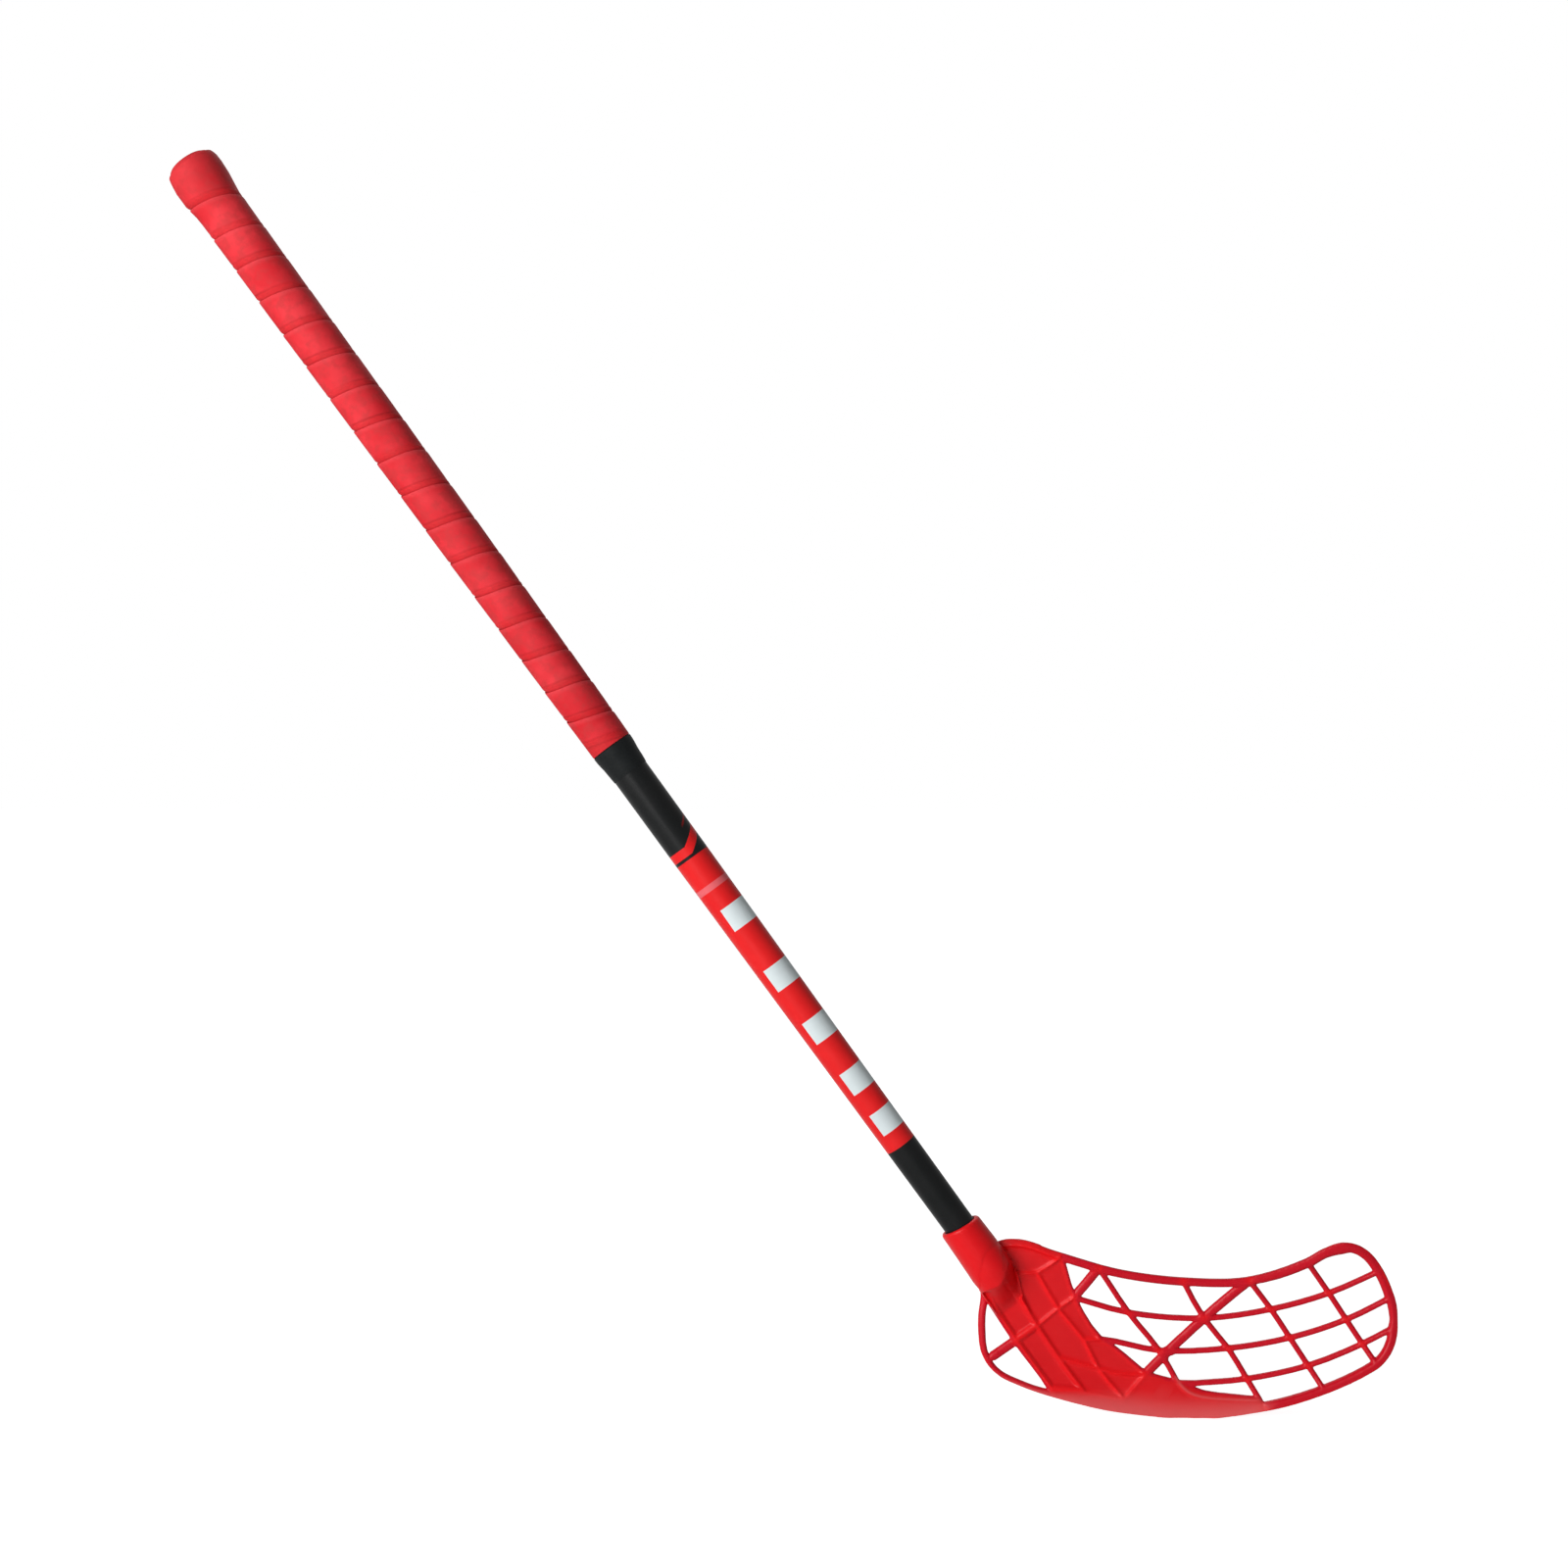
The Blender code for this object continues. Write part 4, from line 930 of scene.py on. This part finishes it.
def widen_ribs(bm, drawing):
    """Brings the ribs, and the rim's inner edge, out to the moulding's full width."""
    moves = []
    for vert in bm.verts:
        x, z = drawn(vert.co)
        local = TO_SHAFT @ vert.co
        radius = math.hypot(local.x, local.y)
        if local.z > -NECK_TOP and radius > HOSEL_RADIUS - 0.0016 and not inside(x, z, OUTLINE):
            moves.append((vert, vert.normal * HOSEL_GROWN * blend(radius, 0.0118, 0.0134)))
            continue
        to_outline = drawing.distance(drawing.outline, x, z)
        if to_outline < 1.2 or not inside(x, z, OUTLINE) or inside(x, z, WEB):
            continue
        to_brace = drawing.distance(drawing.braces, x, z)
        amount = RIB_GROWN * blend(to_outline, 1.2, 3.4)
        amount += BRACE_GROWN * (1 - blend(to_brace, 2.2, 4.2)) * blend(to_outline, 3, 6)
        side = Vector((vert.normal.x, vert.normal.y * 0.25, vert.normal.z))
        moves.append((vert, side * amount))
    for vert, move in moves:
        vert.co += move


def carve_front(bm, drawing):
    """Shapes the side that faces the ball: ridges, the spine's panels, the neck's fall and the rolled lip."""
    for vert in bm.verts:
        x, z = drawn(vert.co)
        facing = min(max(-vert.normal.y * 1.6 - 0.1, 0), 1)
        if x > 62 or not inside(x, z, WEB):
            continue
        middle = blade_middle(x, z)
        if vert.co.y > middle:
            continue
        to_ridge = drawing.distance(drawing.ridges, x, z)
        raised = -RIDGE_RISE * hump(to_ridge, 1.6)
        local = TO_SHAFT @ vert.co
        skew = NECK_SKEW * min(max(local.x / HOSEL_RADIUS, 0), 1)
        fall = min(max((skew - local.z - NECK_TOP) / (NECK_END - NECK_TOP), 0), 1)
        sunk = (fall + blend(fall, 0, 1)) / 2
        across = (local.x + NECK_SHIFT * sunk) / (HOSEL_RADIUS - 0.002 * sunk)
        in_spine = inside(x, z, SPINE)
        if in_spine or (abs(across) < 1.1 and fall < 1):
            plane = middle - SPINE_HALF_DEPTH
            panel = PANEL_DEPTH * blend(to_ridge, 1.5, 3.4) * blend(fall, 0.05, 0.4) if in_spine else 0
            proud = (HOSEL_RADIUS + plane) * (1 - sunk) - NECK_STEP * blend(fall, 0, 0.12) * (1 - fall)
            neck = plane - proud * max(1 - across * across, 0) ** (0.5 + 0.8 * sunk)
            kept = 1 - blend(fall, 0, 0.12)
            if vert.co.y < plane:
                vert.co.y = vert.co.y * kept + (min(neck, plane) + panel + raised * sunk) * (1 - kept)
            else:
                vert.co.y += (min(neck, plane) - plane + panel + raised * sunk) * (1 - kept) * facing
            continue
        height = drawing.above_sole(x, z)
        on_lip = blend(x, -104, -74) * (1 - blend(x, 38, 58))
        rolled = LIP_ROLL * max(1 - height / 12, 0) ** 2 * on_lip
        crest = -LIP_CREST_RISE * hump(drawing.distance(drawing.lip_crest, x, z), 1.5)
        vert.co.y += (raised + rolled + crest) * facing


def mark_surface(mesh, drawing):
    """Gives each point of the blade its shares of ridge, rib and lip, which the plastic's colour follows as painted
    highlight, painted shade and painted reflection.
    """
    names = ("ridge", "rib", "lip")
    for name in names:
        mesh.attributes.new(name, "FLOAT", "POINT")
    ridge, rib, lip = (mesh.attributes[name].data for name in names)
    for i, vert in enumerate(mesh.vertices):
        x, z = drawn(vert.co)
        local = TO_SHAFT @ vert.co
        on_hosel = 1 - blend(math.hypot(local.x, local.y), HOSEL_RADIUS, HOSEL_RADIUS + 0.003)
        on_hosel *= blend(local.z, -NECK_END, -NECK_TOP)
        on_blade = inside(x, z, OUTLINE) and vert.co.y > blade_middle(x, z) - 0.006
        ridge[i].value = 0.5 + (drawing.ridge(x, z) - 0.5) * (1 - on_hosel) if on_blade else 0.5
        rib[i].value = 1 - on_hosel if on_blade and not inside(x, z, WEB) else 0
        lip[i].value = drawing.lip(x, z) if z < 40 else 0


def soften(bm, times):
    """Smooths the whole surface a number of times."""
    for _ in range(times):
        bmesh.ops.smooth_vert(bm, verts=bm.verts[:], factor=0.5, use_axis_x=True, use_axis_y=True, use_axis_z=True)


def make_blade(material):
    """The blade and hosel, with the moulding's soft edges, filled corners and carved front."""
    bm = bmesh.new()
    bm.from_mesh(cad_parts["blade"].data)
    bmesh.ops.remove_doubles(bm, verts=bm.verts[:], dist=0.000005)
    blade = piece("moulded_blade", bm, material, "blade")
    skin = blade.modifiers.new("skin", "REMESH")
    skin.mode = "VOXEL"
    skin.voxel_size = VOXEL
    apply_modifiers(blade)
    drawing = Drawing()
    bm = bmesh.new()
    bm.from_mesh(blade.data)
    soften(bm, 3)
    bm.normal_update()
    round_outline(bm, drawing)
    widen_ribs(bm, drawing)
    bm.normal_update()
    carve_front(bm, drawing)
    soften(bm, 4)
    for vert in bm.verts:
        vert.co.z = max(vert.co.z, cad_low[2] + SOLE_SPARE)
        vert.co.x = min(vert.co.x, cad_high[0] - TOE_SPARE)
    bm.to_mesh(blade.data)
    bm.free()
    thin = blade.modifiers.new("thin", "DECIMATE")
    thin.ratio = KEPT_FACES
    apply_modifiers(blade)
    mark_surface(blade.data, drawing)
    blade.data.shade_smooth()


# The stick
make_shaft(lacquer())
make_wrap(soft_wrap())
make_band(band_tape())
make_cap(cap_rubber())
make_blade(blade_plastic())
steel = screw_steel()
for number, height in enumerate(SCREW_HEIGHTS, start=1):
    make_screw(number, height, steel)
ring_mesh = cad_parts["knob_ring"].data
ring_mesh.materials.clear()
ring_mesh.materials.append(ring_foam())


# The stage
def make_floor():
    """A wide pale floor that keeps the stick's soft shadow, and glows a little more where the shadow can't reach."""
    finish = Finish("floor", Base_Color=(0.86, 0.86, 0.86, 1), Roughness=0.9, Specular_IOR_Level=0.0)
    away = finish.node("ShaderNodeVectorMath", {"operation": "LENGTH"}, {0: finish.place()}, output="Value")
    glow = finish.seen() * (FLOOR_GLOW + away.above(1.2, 1.6) * FAR_GLOW)
    shine = finish.node("ShaderNodeEmission", {}, {"Color": (1.0, 1.0, 1.0), "Strength": glow})
    lit = finish.node("ShaderNodeAddShader", {}, {0: Value(finish, finish.shader.outputs[0]), 1: shine})
    finish.link(lit, "Material Output", "Surface")
    bm = bmesh.new()
    bmesh.ops.create_grid(bm, x_segments=1, y_segments=1, size=40)
    bmesh.ops.translate(bm, verts=bm.verts[:], vec=(0, 0, -FLOOR_DROP))
    floor = shown("floor", bm)
    floor.data.materials.append(finish.material)


def softbox(name, place, width, height, watts):
    """A soft area lamp that faces the stick."""
    data = bpy.data.lights.new(name, "AREA")
    data.shape = "RECTANGLE"
    data.size = width
    data.size_y = height
    data.energy = watts
    lamp = bpy.data.objects.new(name, data)
    lamp.location = place
    lamp.rotation_euler = (Vector(LAMP_TARGET) - Vector(place)).to_track_quat("-Z", "Y").to_euler()
    bpy.context.scene.collection.objects.link(lamp)


def make_world():
    """Even light all round, and plain white where the camera looks past the stick."""
    world = bpy.data.worlds.new("studio")
    bpy.context.scene.world = world
    world.use_nodes = True
    nodes = Nodes(world.node_tree)
    passed = nodes.seen().math("MAXIMUM", nodes.node("ShaderNodeLightPath", output="Is Transmission Ray"))
    strength = nodes.node("ShaderNodeMapRange", {}, {"Value": passed, "To Min": WORLD_FILL, "To Max": 1.0})
    nodes.tree.nodes["Background"].inputs["Color"].default_value = (1, 1, 1, 1)
    nodes.link(strength, "Background", "Strength")


def make_camera():
    """A camera straight in front of the stick, as far off and as wide as the photograph's."""
    data = bpy.data.cameras.new("camera")
    data.sensor_width = SENSOR_WIDTH
    data.lens = SENSOR_WIDTH * -CAMERA_PLACE.y / PICTURE_WIDTH
    camera = bpy.data.objects.new("camera", data)
    camera.location = CAMERA_PLACE
    camera.rotation_euler = (math.radians(90), 0, 0)
    bpy.context.scene.collection.objects.link(camera)
    bpy.context.scene.camera = camera


make_floor()
make_world()
softbox("key", (-1.85, -2.05, 0.65), 1.7, 2.0, 76)
softbox("back", (0.1, 1.9, 2.6), 1.6, 1.2, 16)
make_camera()
bpy.context.scene.view_settings.view_transform = "Standard"
